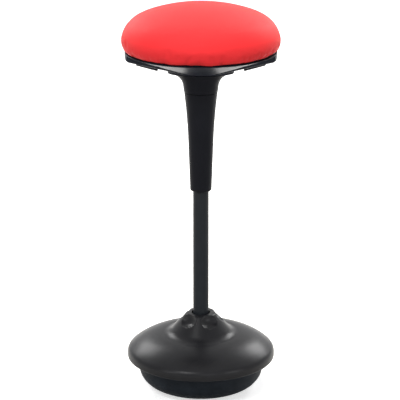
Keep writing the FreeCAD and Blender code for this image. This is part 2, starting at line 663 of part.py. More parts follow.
def add_dimples(body, slope):
    """Scoop the hub's side with a ball, turned about an upright axis beside the hub."""
    turn = f"atan({slope})"
    surface = f"(hub_height - (dimple_reach - hub_top_radius) / {slope})"
    reach = f"(dimple_reach + (dimple_radius - dimple_depth) * cos({turn}))"
    height = f"({surface} + (dimple_radius - dimple_depth) * sin({turn}))"
    before = body.Shape.Volume
    scoop = body.newObject("PartDesign::SubtractiveSphere", "base_cover_dimple")
    scoop.AttachmentSupport = [(plane_of(body, "XY_Plane"), "")]
    scoop.MapMode = "FlatFace"
    scoop.setExpression("Radius", linked("dimple_radius"))
    scoop.setExpression(".AttachmentOffset.Base.x", linked(f"{reach} * sin(dimple_turn)"))
    scoop.setExpression(".AttachmentOffset.Base.y", linked(f"-{reach} * cos(dimple_turn)"))
    scoop.setExpression(".AttachmentOffset.Base.z", linked(height))
    check_cut(body, before, "dimple")
    ring_pattern(body, [scoop], "dimple_count")


def make_cover_screws():
    """Screws that rise through the bowl's wells into the cover's posts."""
    body = new_body("cover_screws", many=True)
    seat = "(well_top - well_roof)"
    heads = new_sketch(body, "heads", "XY_Plane", seat)
    draw_circle(heads, "0", "-cover_screw_circle", "screw_head_radius")
    head = extrude(body, "head", heads, "screw_head_height", down=True)
    shanks = new_sketch(body, "shanks", "XY_Plane", seat)
    draw_circle(shanks, "0", "-cover_screw_circle", "screw_radius")
    shank = extrude(body, "shank", shanks, "screw_length")
    ring_pattern(body, [head, shank], "cover_screw_count")
    return body


# Column

def make_column_socket():
    """Round flange with the cup that holds the lower tube."""
    body = new_body("column_socket")
    revolve(body, "cup", [
        ("socket_hole", SOCKET_BASE),
        ("socket_plate_radius", SOCKET_BASE),
        ("socket_plate_radius", TUBE_BOTTOM),
        ("tube_radius + socket_wall", TUBE_BOTTOM),
        ("tube_radius + socket_wall", f"{TUBE_BOTTOM} + socket_height"),
        ("tube_radius + running_play", f"{TUBE_BOTTOM} + socket_height"),
        ("tube_radius + running_play", TUBE_BOTTOM),
        ("socket_hole", TUBE_BOTTOM),
    ])
    sketch = new_sketch(body, "bolt_holes", "XY_Plane", TUBE_BOTTOM)
    draw_circle(sketch, "column_bolt_circle", "0", "column_bolt_radius + screw_play")
    hole = extrude(body, "bolt_hole", sketch, "socket_plate_thick", cut=True, down=True)
    ring_pattern(body, [hole], "column_bolt_count")
    return body


def make_column_bolts():
    """Bolts that rise from under the foot pad through bowl, ballast and flange."""
    body = new_body("column_bolts", many=True)
    heads = new_sketch(body, "heads", "XY_Plane", "foot_pad_thick")
    draw_circle(heads, "column_bolt_circle", "0", "column_bolt_head")
    head = extrude(body, "head", heads, "column_bolt_head_height")
    shanks = new_sketch(body, "shanks", "XY_Plane", "foot_pad_thick")
    draw_circle(shanks, "column_bolt_circle", "0", "column_bolt_radius")
    length = f"{TUBE_BOTTOM} + column_nut_height + column_bolt_tail - foot_pad_thick"
    shank = extrude(body, "shank", shanks, length)
    ring_pattern(body, [head, shank], "column_bolt_count")
    return body


def make_column_nuts():
    """Hexagon nuts on the flange."""
    body = new_body("column_nuts", many=True)
    sketch = new_sketch(body, "hexagon", "XY_Plane", TUBE_BOTTOM)
    corner_reach = "column_nut_across / 2 / cos(30)"
    draw_outline(sketch, [
        (f"column_bolt_circle + {corner_reach} * cos({60 * side})",
         f"{corner_reach} * sin({60 * side})" if side % 3 else "0")
        for side in range(6)])
    draw_circle(sketch, "column_bolt_circle", "0", "column_bolt_radius + running_play")
    nut = extrude(body, "nut", sketch, "column_nut_height")
    ring_pattern(body, [nut], "column_bolt_count")
    return body


def make_lower_tube():
    """Column tube with the inner floor that carries the bearing."""
    body = new_body("lower_tube")
    hole = "rod_radius + part_play"
    floor = f"({TUBE_BOTTOM} + tube_floor_rise)"
    revolve(body, "tube", [
        (TUBE_BORE, TUBE_BOTTOM),
        ("tube_radius", TUBE_BOTTOM),
        ("tube_radius", TUBE_TOP),
        (TUBE_BORE, TUBE_TOP),
        (TUBE_BORE, TUBE_FLOOR),
        (hole, TUBE_FLOOR),
        (hole, floor),
        (TUBE_BORE, floor),
    ])
    return body


def make_ball_cage():
    """Thin cage ring with its balls fused in."""
    body = new_body("ball_cage")
    middle = f"({CAGE_BASE} + ball_radius + ball_play)"
    revolve(body, "cage", [
        ("ball_circle - ball_radius - cage_thick / 2", f"{middle} - cage_thick / 2"),
        ("ball_circle + ball_radius + cage_thick / 2", f"{middle} - cage_thick / 2"),
        ("ball_circle + ball_radius + cage_thick / 2", f"{middle} + cage_thick / 2"),
        ("ball_circle - ball_radius - cage_thick / 2", f"{middle} + cage_thick / 2"),
    ])
    ball = body.newObject("PartDesign::AdditiveSphere", "ball_cage_ball")
    ball.AttachmentSupport = [(plane_of(body, "XY_Plane"), "")]
    ball.MapMode = "FlatFace"
    ball.setExpression("Radius", linked("ball_radius"))
    ball.setExpression(".AttachmentOffset.Base.x", linked("ball_circle"))
    ball.setExpression(".AttachmentOffset.Base.z", linked(middle))
    doc.recompute()
    ring_pattern(body, [ball], "ball_count")
    return body


# Gas spring

def make_piston_rod():
    """Rod with its clip groove, the shoulder over the bearing, and the piston."""
    body = new_body("piston_rod")
    floor = f"({TUBE_BOTTOM} + tube_floor_rise)"
    groove_top = f"({floor} - part_play)"
    piston_radius = "cylinder_radius - cylinder_wall - running_play"
    revolve(body, "rod", [
        ("0", f"{floor} - rod_tail"),
        ("rod_radius", f"{floor} - rod_tail"),
        ("rod_radius", f"{groove_top} - clip_thick"),
        ("rod_radius - clip_groove", f"{groove_top} - clip_thick"),
        ("rod_radius - clip_groove", groove_top),
        ("rod_radius", groove_top),
        ("rod_radius", SHOULDER_BASE),
        ("rod_shoulder_radius", SHOULDER_BASE),
        ("rod_shoulder_radius", BUMPER_BASE),
        ("rod_radius", BUMPER_BASE),
        ("rod_radius", PISTON_BASE),
        (piston_radius, PISTON_BASE),
        (piston_radius, f"{PISTON_BASE} + piston_height"),
        ("0", f"{PISTON_BASE} + piston_height"),
    ])
    return body


def make_gas_cylinder():
    """Cylinder with a closed lower end, the valve head and the tapered top."""
    body = new_body("gas_cylinder")
    bore = "cylinder_radius - cylinder_wall"
    rod_hole = "rod_radius + running_play"
    valve_hole = "valve_pin_radius + running_play"
    cap_top = f"{CYLINDER_BOTTOM} + cylinder_cap"
    head_base = f"({CYLINDER_TOP} - cylinder_head)"
    valve_base = "(valve_pin_top - valve_pin_length - valve_stroke - part_play)"
    revolve(body, "outside", [
        (rod_hole, CYLINDER_BOTTOM),
        ("cylinder_radius", CYLINDER_BOTTOM),
        ("cylinder_radius", "taper_socket_bottom"),
        ("taper_top_radius", CYLINDER_TOP),
        (valve_hole, CYLINDER_TOP),
        (valve_hole, valve_base),
        ("0", valve_base),
        ("0", head_base),
        (bore, head_base),
        (bore, cap_top),
        (rod_hole, cap_top),
    ])
    return body


# Sleeve and neck

def make_upper_sleeve():
    """Tapered sleeve: straight at the foot, flaring to the neck, with a turned-in lip."""
    body = new_body("upper_sleeve")
    flare_radius = "sleeve_flare"
    lip_hole = "tube_radius + sleeve_lip_play"
    lip_top = "sleeve_bottom + sleeve_lip"
    bend = "sleeve_bend_height"
    spigot_top = "(neck_bottom + spigot_height)"
    sleeve = revolve(body, "wall", [
        (lip_hole, "sleeve_bottom"),
        ("sleeve_bottom_radius", "sleeve_bottom"),
        ("sleeve_bend_radius", bend, flare_radius, -1),
        (SLEEVE_TOP_RADIUS, SLEEVE_TOP),
        (f"{SPIGOT_RADIUS} - part_play", SLEEVE_TOP),
        (f"{SPIGOT_RADIUS} - part_play", spigot_top),
        (f"{SPIGOT_RADIUS} - part_play - sleeve_wall", spigot_top),
        (f"{SPIGOT_RADIUS} - part_play - sleeve_wall", SLEEVE_TOP,
         "sleeve_flare + sleeve_wall", 1),
        ("sleeve_bend_radius - sleeve_wall", bend),
        ("sleeve_bottom_radius - sleeve_wall", lip_top),
        (lip_hole, lip_top),
    ])
    fillet(body, "edge", sleeve,
           circle_edges(sleeve.Shape, "sleeve_bottom_radius", "sleeve_bottom"),
           "sleeve_edge_round")
    return body


def make_neck_collar():
    """Neck that grows from a round seam to a wide oval one, as a loft with a lofted inside."""
    body = new_body("neck_collar")
    sections = [
        ("neck_bottom", "neck_bottom_radius", "neck_bottom_radius"),
        ("neck_waist_height", "neck_waist_width",
         "(neck_bottom_radius + neck_depth) / 2"),
        ("neck_mid_height", "neck_mid_width", "(neck_bottom_radius + 3 * neck_depth) / 4"),
        ("neck_flare_height", "neck_flare_width", "(neck_bottom_radius + 9 * neck_depth) / 10"),
        ("neck_top - seam_gap", "neck_top_width", "neck_depth"),
    ]
    for name, wall, kind in (("outside", "0", "PartDesign::AdditiveLoft"),
                             ("inside", "neck_wall", "PartDesign::SubtractiveLoft")):
        sketches = []
        for number, (height, width, depth) in enumerate(sections):
            sketch = new_sketch(body, f"{name}_{number}", "XY_Plane", height)
            if number == 0:
                draw_circle(sketch, "0", "0", f"{width} - {wall}")
            else:
                draw_ellipse(sketch, f"{width} - {wall}", f"{depth} - {wall}")
            sketches.append(sketch)
        before = body.Shape.Volume if wall != "0" else 0
        loft = body.newObject(kind, f"neck_collar_{name}_loft")
        loft.Profile = sketches[0]
        loft.Sections = sketches[1:]
        doc.recompute()
        if wall != "0":
            check_cut(body, before, name)
    land = new_sketch(body, "land", "XY_Plane", "neck_top - seam_gap")
    for inset in ("seam_step", "neck_wall"):
        draw_ellipse(land, f"neck_top_width - {inset}", f"neck_depth - {inset}")
    extrude(body, "land_pad", land, "seam_gap")
    return body


# Seat dish

def make_seat_shell():
    """Shallow dish with a wing each side that houses a lever and opens under its paddle."""
    body = new_body("seat_shell")
    wings = new_sketch(body, "wings", "XZ_Plane")
    draw_outline(wings, [
        ("-wing_root_reach", "wing_root_height"),
        ("wing_root_reach", "wing_root_height"),
        ("wing_knee_reach", "wing_knee_height"),
        ("wing_heel_reach", "wing_heel_height"),
        ("wing_tip_reach", "wing_tip_height"),
        ("wing_tip_reach", "dish_top"),
        ("-wing_tip_reach", "dish_top"),
        ("-wing_tip_reach", "wing_tip_height"),
        ("-wing_heel_reach", "wing_heel_height"),
        ("-wing_knee_reach", "wing_knee_height"),
    ])
    pad = extrude(body, "wing", wings, "2 * wing_half_depth", both_ways=True)
    fillet(body, "wing_edge", pad, wing_edges(pad.Shape), "wing_edge_round")
    cone_end = f"(neck_depth + (dish_top - {INNER_CONE}) / {DISH_SLOPE})"
    above = "(dish_top + dish_wall)"
    revolve(body, "inside", [
        ("0", INNER_CONE),
        ("neck_depth", INNER_CONE),
        (cone_end, "dish_top"),
        (cone_end, above),
        ("0", above),
    ], cut=True)
    far = "(wing_tip_reach + wing_half_depth)"
    revolve(body, "outside", [
        ("dish_radius", "neck_top"),
        (far, "neck_top"),
        (far, above),
        ("dish_radius", above),
    ], cut=True)
    rib = "(dish_rib_radius - dish_rib_thick)"
    rib_top = f"({BOARD_BASE} - part_play)"
    revolve(body, "dish", [
        ("dish_hole", "dish_base"),
        ("neck_depth", "dish_base"),
        ("dish_radius", "dish_rim_bottom"),
        ("dish_radius", "dish_top"),
        (cone_end, "dish_top"),
        ("dish_rib_radius", f"{INNER_CONE} + (dish_rib_radius - neck_depth) * {DISH_SLOPE}"),
        ("dish_rib_radius", rib_top),
        (rib, rib_top),
        (rib, f"{INNER_CONE} + ({rib} - neck_depth) * {DISH_SLOPE}"),
        ("neck_depth", INNER_CONE),
        ("dish_hole", INNER_CONE),
    ])
    landing = new_sketch(body, "landing", "XY_Plane", "dish_base")
    draw_ellipse(landing, "neck_top_width", "neck_depth")
    extrude(body, "landing_pad", landing, "landing_thick")
    add_wing_openings(body)
    centre = new_sketch(body, "centre", "XY_Plane", "dish_base")
    draw_circle(centre, "0", "0", "dish_hole")
    extrude(body, "centre_hole", centre, "dish_top - neck_top", cut=True)
    cone_inside = f"(dish_base + dish_wall / 2 + (shell_screw_circle - neck_depth) * {DISH_SLOPE})"
    posts = new_sketch(body, "posts", "XY_Plane", rib_top)
    draw_circle(posts, SCREW_TURN, SCREW_TURN, "shell_post_radius")
    post = extrude(body, "post", posts, f"{rib_top} - {cone_inside}", down=True)
    holes = new_sketch(body, "screw_holes", "XY_Plane", rib_top)
    draw_circle(holes, SCREW_TURN, SCREW_TURN, "shell_screw_radius + screw_play")
    hole = extrude(body, "screw_hole", holes, "dish_top - neck_top", cut=True, down=True)
    wells = new_sketch(body, "screw_wells", "XY_Plane", f"{BOARD_BASE} - shell_seat_depth")
    draw_circle(wells, SCREW_TURN, SCREW_TURN, "shell_well_bore")
    well = extrude(body, "screw_well", wells, "dish_top - neck_top", cut=True, down=True)
    ring_pattern(body, [post, hole, well], "shell_screw_count")
    return body


def add_wing_openings(body):
    """Hollow of each wing, open to the dish, and the window in its floor."""
    end = "(wing_heel_reach - wing_wall)"
    hollow = new_sketch(body, "wing_hollows", "XZ_Plane")
    windows = new_sketch(body, "windows", "XY_Plane", "dish_top")
    for side in ("", "-"):
        draw_outline(hollow, [
            (f"{side}wing_knee_reach", "wing_knee_height + dish_wall"),
            (f"{side}{end}",
             f"wing_knee_height + dish_wall + ({end} - wing_knee_reach) * {WING_SLOPE}"),
            (f"{side}{end}", "dish_top"),
            (f"{side}wing_knee_reach", "dish_top"),
        ])
        draw_outline(windows, [
            (f"{side}window_outer", "-window_half_depth"),
            (f"{side}window_outer", "window_half_depth"),
            (f"{side}window_inner", "window_half_depth"),
            (f"{side}window_inner", "-window_half_depth"),
        ])
    extrude(body, "hollow", hollow, "2 * (wing_half_depth - wing_wall)",
            both_ways=True, cut=True)
    extrude(body, "window", windows, f"dish_top - dish_base", cut=True, down=True)


def wing_edges(shape):
    """Lower edges of the wings along their front and back faces."""
    names = []
    half = value_of("wing_half_depth")
    top = value_of("wing_tip_height")
    for number, edge in enumerate(shape.Edges, start=1):
        points = [vertex.Point for vertex in edge.Vertexes]
        on_face = all(abs(abs(point.y) - half) < NEAR for point in points)
        same_face = abs(points[0].y - points[-1].y) < NEAR
        low = max(point.z for point in points) < top + NEAR
        if on_face and same_face and low:
            names.append(f"Edge{number}")
    return names


def make_shell_screws():
    """Screws that hold the dish up to the board."""
    body = new_body("shell_screws", many=True)
    seat = f"({BOARD_BASE} - shell_seat_depth)"
    heads = new_sketch(body, "heads", "XY_Plane", seat)
    draw_circle(heads, SCREW_TURN, SCREW_TURN, "shell_screw_head")
    head = extrude(body, "head", heads, "screw_head_height", down=True)
    shanks = new_sketch(body, "shanks", "XY_Plane", seat)
    draw_circle(shanks, SCREW_TURN, SCREW_TURN, "shell_screw_radius")
    shank = extrude(body, "shank", shanks, "shell_screw_length")
    ring_pattern(body, [head, shank], "shell_screw_count")
    return body


# Board, bracket and fasteners

def bolt_places():
    """The four bolts of the bracket."""
    return [(f"{across}bolt_reach", f"{up}bolt_spread")
            for across in ("", "-") for up in ("", "-")]


def make_seat_board():
    """Plywood disc with holes for the tee nuts and the dish's screws."""
    body = new_body("seat_board")
    disc = new_sketch(body, "disc", "XY_Plane", BOARD_BASE)
    draw_circle(disc, "0", "0", "board_radius")
    extrude(body, "board", disc, "board_thick")
    holes = new_sketch(body, "barrel_holes", "XY_Plane", BOARD_TOP)
    recesses = new_sketch(body, "nut_recesses", "XY_Plane", BOARD_TOP)
    for across, up in bolt_places():
        draw_circle(holes, across, up, "tee_barrel")
        draw_circle(recesses, across, up, "tee_radius")
    extrude(body, "barrel_hole", holes, "board_thick", cut=True, down=True)
    extrude(body, "nut_recess", recesses, "tee_thick", cut=True, down=True)
    pilots = new_sketch(body, "pilots", "XY_Plane", BOARD_BASE)
    draw_circle(pilots, SCREW_TURN, SCREW_TURN, "shell_screw_radius")
    pilot = extrude(body, "pilot", pilots, "shell_screw_length - shell_seat_depth + part_play",
                    cut=True)
    ring_pattern(body, [pilot], "shell_screw_count")
    return body


def make_tee_nuts():
    """Tee nuts sunk in the top of the board."""
    body = new_body("tee_nuts", many=True)
    flanges = new_sketch(body, "flanges", "XY_Plane", BOARD_TOP)
    barrels = new_sketch(body, "barrels", "XY_Plane", f"{BOARD_TOP} - tee_thick")
    bores = new_sketch(body, "bores", "XY_Plane", BOARD_TOP)
    for across, up in bolt_places():
        draw_circle(flanges, across, up, "tee_radius")
        draw_circle(barrels, across, up, "tee_barrel")
        draw_circle(bores, across, up, "bolt_radius + running_play")
    extrude(body, "flange", flanges, "tee_thick", down=True)
    extrude(body, "barrel", barrels, "board_thick - tee_thick - part_play", down=True)
    extrude(body, "bore", bores, "board_thick", cut=True, down=True)
    return body


def make_seat_bracket():
    """Pressed steel channel with flanges bolted to the board."""
    body = new_body("seat_bracket")
    inner = "(bracket_half_width - bracket_wall)"
    flange = f"({BOARD_BASE} - bracket_wall)"
    sketch = new_sketch(body, "channel", "YZ_Plane")
    draw_outline(sketch, [
        ("-bracket_half_width", "bracket_floor"),
        ("bracket_half_width", "bracket_floor"),
        ("bracket_half_width", flange),
        ("bracket_flange", flange),
        ("bracket_flange", BOARD_BASE),
        (inner, BOARD_BASE),
        (inner, BRACKET_TOP),
        (f"-{inner}", BRACKET_TOP),
        (f"-{inner}", BOARD_BASE),
        ("-bracket_flange", BOARD_BASE),
        ("-bracket_flange", flange),
        ("-bracket_half_width", flange),
    ])
    extrude(body, "section", sketch, "bracket_length", both_ways=True)
    socket = new_sketch(body, "socket_hole", "XY_Plane", BRACKET_TOP)
    draw_circle(socket, "0", "0", "taper_socket_radius")
    extrude(body, "socket_cut", socket, "bracket_wall", cut=True, down=True)
    bolts = new_sketch(body, "bolt_holes", "XY_Plane", BOARD_BASE)
    for across, up in bolt_places():
        draw_circle(bolts, across, up, "bolt_radius + screw_play")
    extrude(body, "bolt_cut", bolts, "bracket_wall", cut=True, down=True)
    pins = new_sketch(body, "pin_holes", "XZ_Plane")
    for side in ("", "-"):
        draw_circle(pins, f"{side}pivot_reach", "pivot_height", "pin_radius")
    extrude(body, "pin_cut", pins, "3 * bracket_half_width", both_ways=True, cut=True)
    return body


def make_bracket_bolts():
    """Bolts up through the flanges into the tee nuts."""
    body = new_body("bracket_bolts", many=True)
    seat = f"({BOARD_BASE} - bracket_wall)"
    heads = new_sketch(body, "heads", "XY_Plane", seat)
    shanks = new_sketch(body, "shanks", "XY_Plane", seat)
    for across, up in bolt_places():
        draw_circle(heads, across, up, "bolt_head_radius")
        draw_circle(shanks, across, up, "bolt_radius")
    extrude(body, "head", heads, "bolt_head_height", down=True)
    extrude(body, "shank", shanks, "bracket_wall + board_thick")
    return body


def make_taper_socket():
    """Welded socket that grips the cylinder's tapered top."""
    body = new_body("taper_socket")
    revolve(body, "socket", [
        ("cylinder_radius", "taper_socket_bottom"),
        ("taper_socket_radius", "taper_socket_bottom"),
        ("taper_socket_radius", BRACKET_TOP),
        ("taper_top_radius", BRACKET_TOP),
        ("taper_top_radius", CYLINDER_TOP),
    ])
    return body


# Levers and valve

def make_lever(label, turned):
    """Paddle, arm, barrel and slotted nose; the left one is the right one turned about."""
    body = new_body(label)
    base = "pivot_height"
    arm_middle = "(arm_inner + arm_thick / 2)"
    arm = new_sketch(body, "arm", "XZ_Plane", f"-{arm_middle}")
    slope = "((paddle_low_outer - paddle_low_inner) / (paddle_outer - paddle_inner))"
    draw_outline(arm, [
        ("0", "presser_pin_height - nose_radius"),
        ("pivot_reach", f"{base} - nose_radius + slot_half_length"),
        ("paddle_inner", f"{base} - 2 * arm_half_height"),
        ("paddle_inner", "paddle_low_inner + paddle_round"),
        ("paddle_inner + 2 * arm_thick",
         f"paddle_low_inner + paddle_round + 2 * arm_thick * {slope}"),
        ("paddle_inner + 2 * arm_thick",
         f"paddle_low_inner + paddle_thick - paddle_round + 2 * arm_thick * {slope}"),
        ("paddle_inner + arm_thick", base),
        ("pivot_reach", f"{base} + arm_half_height"),
        ("0", "presser_pin_height + nose_radius", "nose_radius", 1),
        ("-nose_radius", "presser_pin_height", "nose_radius", 1),
    ])
    extrude(body, "arm_pad", arm, "arm_thick", both_ways=True)
    barrel = new_sketch(body, "barrel", "XZ_Plane")
    draw_circle(barrel, "pivot_reach", base, "barrel_radius")
    extrude(body, "barrel_pad", barrel,
            "2 * (bracket_half_width - bracket_wall - side_play)", both_ways=True)
    paddle = new_sketch(body, "paddle", "XZ_Plane")
    draw_outline(paddle, [
        ("paddle_inner", "paddle_low_inner"),
        ("paddle_outer", "paddle_low_outer"),
        ("paddle_outer", "paddle_low_outer + paddle_thick"),
        ("paddle_inner", "paddle_low_inner + paddle_thick"),
    ])
    blade = extrude(body, "paddle_pad", paddle, "2 * paddle_half_depth", both_ways=True)
    fillet(body, "paddle_edge", blade, paddle_edges(blade.Shape), "paddle_round")
    bore = new_sketch(body, "bore", "XZ_Plane")
    draw_circle(bore, "pivot_reach", base, "pin_radius + running_play")
    extrude(body, "bore_cut", bore, "3 * bracket_half_width", both_ways=True, cut=True)
    slot = new_sketch(body, "slot", "XZ_Plane")
    half = "(presser_pin_radius + slot_play)"
    draw_outline(slot, [
        ("-slot_half_length", f"presser_pin_height - {half}"),
        ("slot_half_length", f"presser_pin_height - {half}", half, 1),
        (f"slot_half_length + {half}", "presser_pin_height", half, 1),
        ("slot_half_length", f"presser_pin_height + {half}"),
        ("-slot_half_length", f"presser_pin_height + {half}", half, 1),
        (f"-slot_half_length - {half}", "presser_pin_height", half, 1),
    ])
    extrude(body, "slot_cut", slot, "3 * bracket_half_width", both_ways=True, cut=True)
    if turned:
        upright = FreeCAD.Vector(0, 0, 1)
        body.Placement = FreeCAD.Placement(
            FreeCAD.Vector(0, 0, 0), FreeCAD.Rotation(upright, 180))
    return body


def paddle_edges(shape):
    """Outer and lower edges of the paddle."""
    half = value_of("paddle_half_depth")
    tip = value_of("paddle_outer")
    names = []
    for number, edge in enumerate(shape.Edges, start=1):
        if edge.isClosed():
            continue
        points = [vertex.Point for vertex in edge.Vertexes]
        on_side = all(abs(abs(point.y) - half) < NEAR for point in points)
        at_tip = all(abs(point.x - tip) < NEAR for point in points)
        if on_side or at_tip:
            names.append(f"Edge{number}")
    return names


def make_lever_pin(label, side):
    """Headed pin across the bracket."""
    body = new_body(label)
    head_face = "bracket_half_width + pin_head_thick"
    shank = new_sketch(body, "shank", "XZ_Plane")
    draw_circle(shank, f"{side}pivot_reach", "pivot_height", "pin_radius")
    extrude(body, "shank_pad", shank, f"2 * ({head_face})", both_ways=True)
    for name, offset, down in (("front", "bracket_half_width", False),
                               ("back", "-bracket_half_width", True)):
        head = new_sketch(body, f"{name}_head", "XZ_Plane", offset)
        draw_circle(head, f"{side}pivot_reach", "pivot_height", "pin_head_radius")
        extrude(body, f"{name}_head_pad", head, "pin_head_thick", down=down)
    return body


def make_valve_pin():
    """Release pin in the top of the gas cylinder."""
    body = new_body("valve_pin")
    sketch = new_sketch(body, "section", "XY_Plane", "valve_pin_top")
    draw_circle(sketch, "0", "0", "valve_pin_radius")
    extrude(body, "pin", sketch, "valve_pin_length", down=True)
    return body


def make_valve_presser():
    """Block on the release pin with the cross pin that both noses push down."""
    body = new_body("valve_presser")
    block = new_sketch(body, "block", "XZ_Plane")
    top = "presser_pin_height + presser_pin_radius + slot_half_length"
    draw_outline(block, [
        ("-presser_half_width", "valve_pin_top"),
        ("presser_half_width", "valve_pin_top"),
        ("presser_half_width", top),
        ("-presser_half_width", top),
    ])
    extrude(body, "block_pad", block, "2 * presser_half_depth", both_ways=True)
    pin = new_sketch(body, "cross_pin", "XZ_Plane")
    draw_circle(pin, "0", "presser_pin_height", "presser_pin_radius")
    extrude(body, "cross_pin_pad", pin,
            "2 * (arm_inner + arm_thick + pin_head_thick)", both_ways=True)
    return body


# Cushion

def cushion_section(skin):
    """Crown, shoulder and drawn-in side of the cushion, moved inwards by skin."""
    shoulder_reach = "(cushion_radius - cushion_shoulder)"
    rise = "(cushion_top - cushion_waist_height)"
    crown = (f"(({shoulder_reach}^2 + {rise}^2 - cushion_shoulder^2)"
             f" / (2 * ({rise} - cushion_shoulder)))")
    turn = f"asin({shoulder_reach} / ({crown} - cushion_shoulder))"
    waist = "(cushion_waist_height - cushion_edge_height)"
    draw = "(cushion_radius - cushion_edge_radius)"
    side = f"(({waist}^2 + {draw}^2) / (2 * {draw}))"
    lean = f"asin({waist} / {side})"
    return [
        ("0", f"cushion_top - {skin}", f"{crown} - {skin}", -1),
        (f"{shoulder_reach} + (cushion_shoulder - {skin}) * sin({turn})",
         f"cushion_waist_height + (cushion_shoulder - {skin}) * cos({turn})",
         f"cushion_shoulder - {skin}", -1),
        (f"cushion_radius - {skin}", "cushion_waist_height", f"{side} - {skin}", -1),
        (f"cushion_radius - {side} + ({side} - {skin}) * cos({lean})",
         f"cushion_waist_height - ({side} - {skin}) * sin({lean})"),
    ]


def make_seat_cover():
    """Fabric skin over the foam, turned under the board in a hem."""
    body = new_body("seat_cover")
    outer = cushion_section("0")
    inner = cushion_section("fabric_thick")
    hem_top = f"({BOARD_BASE} - part_play / 3)"
    hem_base = f"({hem_top} - fabric_thick)"
    back = [(place[0], place[1]) for place in inner]
    body_corners = outer + [
        ("cushion_tuck_radius", hem_base),
        ("cover_hem_radius", hem_base),
        ("cover_hem_radius", hem_top),
        ("cushion_tuck_radius", hem_top),
        back[3] + (inner[2][2], 1),
        back[2] + (inner[1][2], 1),
        back[1] + (inner[0][2], 1),
        back[0],
    ]
    revolve(body, "skin", body_corners)
    return body


def make_seat_foam():
    """Foam block with the cushion's crown, hollowed underneath round the board."""
    body = new_body("seat_foam")
    skin = "(fabric_thick + soft_play)"
    outline = cushion_section(skin)
    bottom = f"({BOARD_BASE} + soft_play)"
    recess = "(board_radius + soft_play)"
    revolve(body, "foam", outline + [
        (f"cushion_tuck_radius - soft_play", bottom),
        (recess, bottom),
        (recess, f"{BOARD_TOP} + soft_play"),
        ("0", f"{BOARD_TOP} + soft_play"),
    ])
    return body


PIECES = [
    make_foot_pad(),
    make_rocker_shell(),
    make_ballast(),
    make_base_cover(),
    make_cover_screws(),
    make_column_socket(),
    make_column_bolts(),
    make_column_nuts(),
    make_lower_tube(),
    tube_piece("guide_bush", TUBE_BORE, "cylinder_radius + running_play", BUSH_BASE, TUBE_TOP),
    tube_piece("lower_washer", "washer_radius", "rod_radius + part_play", TUBE_FLOOR, CAGE_BASE),
    make_ball_cage(),
    tube_piece("upper_washer", "washer_radius", "rod_radius", UPPER_WASHER_BASE, SHOULDER_BASE),
    make_piston_rod(),
    tube_piece("rod_clip", "clip_radius", "rod_radius - clip_groove",
               f"{TUBE_BOTTOM} + tube_floor_rise - part_play - clip_thick",
               f"{TUBE_BOTTOM} + tube_floor_rise - part_play"),
    tube_piece("rubber_bumper", "bumper_radius", "rod_radius", BUMPER_BASE,
               f"{BUMPER_BASE} + bumper_height"),
    make_gas_cylinder(),
    make_upper_sleeve(),
    make_neck_collar(),
    make_seat_shell(),
    make_shell_screws(),
    make_seat_board(),
    make_tee_nuts(),
    make_seat_bracket(),
    make_bracket_bolts(),
    make_taper_socket(),
    make_lever("right_lever", False),
    make_lever("left_lever", True),
    make_lever_pin("right_lever_pin", ""),
    make_lever_pin("left_lever_pin", "-"),
    make_valve_pin(),
    make_valve_presser(),
    make_seat_foam(),
    make_seat_cover(),
]

doc.recompute()
for item in doc.Objects:
    if "Invalid" in item.State or "Error" in item.State:
        raise RuntimeError(f"{item.Name} failed: {item.State}")
for piece in PIECES:
    if piece.Shape.isNull() or not piece.Shape.isValid():
        raise RuntimeError(f"{piece.Label} has no valid shape")

os.makedirs("parts", exist_ok=True)
for piece in PIECES:
    piece.Shape.exportStep(f"parts/{piece.Label}.step")
    print(f"{piece.Label}: {len(piece.Shape.Solids)} solids, {piece.Shape.Volume / 1000:.1f} cm3")
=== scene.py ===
import math

import bmesh
import bpy
from bpy.props import FloatProperty, FloatVectorProperty, IntProperty, PointerProperty
from bpy.types import Operator, Panel, PropertyGroup
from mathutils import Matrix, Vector, noise


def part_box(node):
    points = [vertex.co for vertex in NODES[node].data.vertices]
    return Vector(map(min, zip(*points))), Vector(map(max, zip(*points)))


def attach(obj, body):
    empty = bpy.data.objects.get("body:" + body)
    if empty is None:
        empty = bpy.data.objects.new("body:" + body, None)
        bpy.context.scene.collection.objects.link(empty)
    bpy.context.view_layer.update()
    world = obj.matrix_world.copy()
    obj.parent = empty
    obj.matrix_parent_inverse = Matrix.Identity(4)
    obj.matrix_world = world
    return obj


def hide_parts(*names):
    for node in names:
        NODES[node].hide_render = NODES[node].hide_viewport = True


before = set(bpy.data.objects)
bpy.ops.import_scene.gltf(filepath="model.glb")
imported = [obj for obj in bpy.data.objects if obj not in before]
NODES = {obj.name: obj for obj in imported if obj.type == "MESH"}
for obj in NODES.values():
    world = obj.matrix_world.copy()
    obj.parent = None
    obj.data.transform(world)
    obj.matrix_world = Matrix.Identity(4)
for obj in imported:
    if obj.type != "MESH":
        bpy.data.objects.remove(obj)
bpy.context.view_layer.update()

bl_info = {
    "name": "Wobble Stool Dressing",
    "version": (1, 0, 0),
    "blender": (4, 5, 0),
    "location": "View3D > Sidebar > Stool",
    "description": "Cushion, moulded plastics, metals and studio of a wobble stool",
    "category": "Object",
}


# Shader helpers

# A band wave at scale 1 repeats every 0.314 m.
WAVE_PERIOD = 0.314


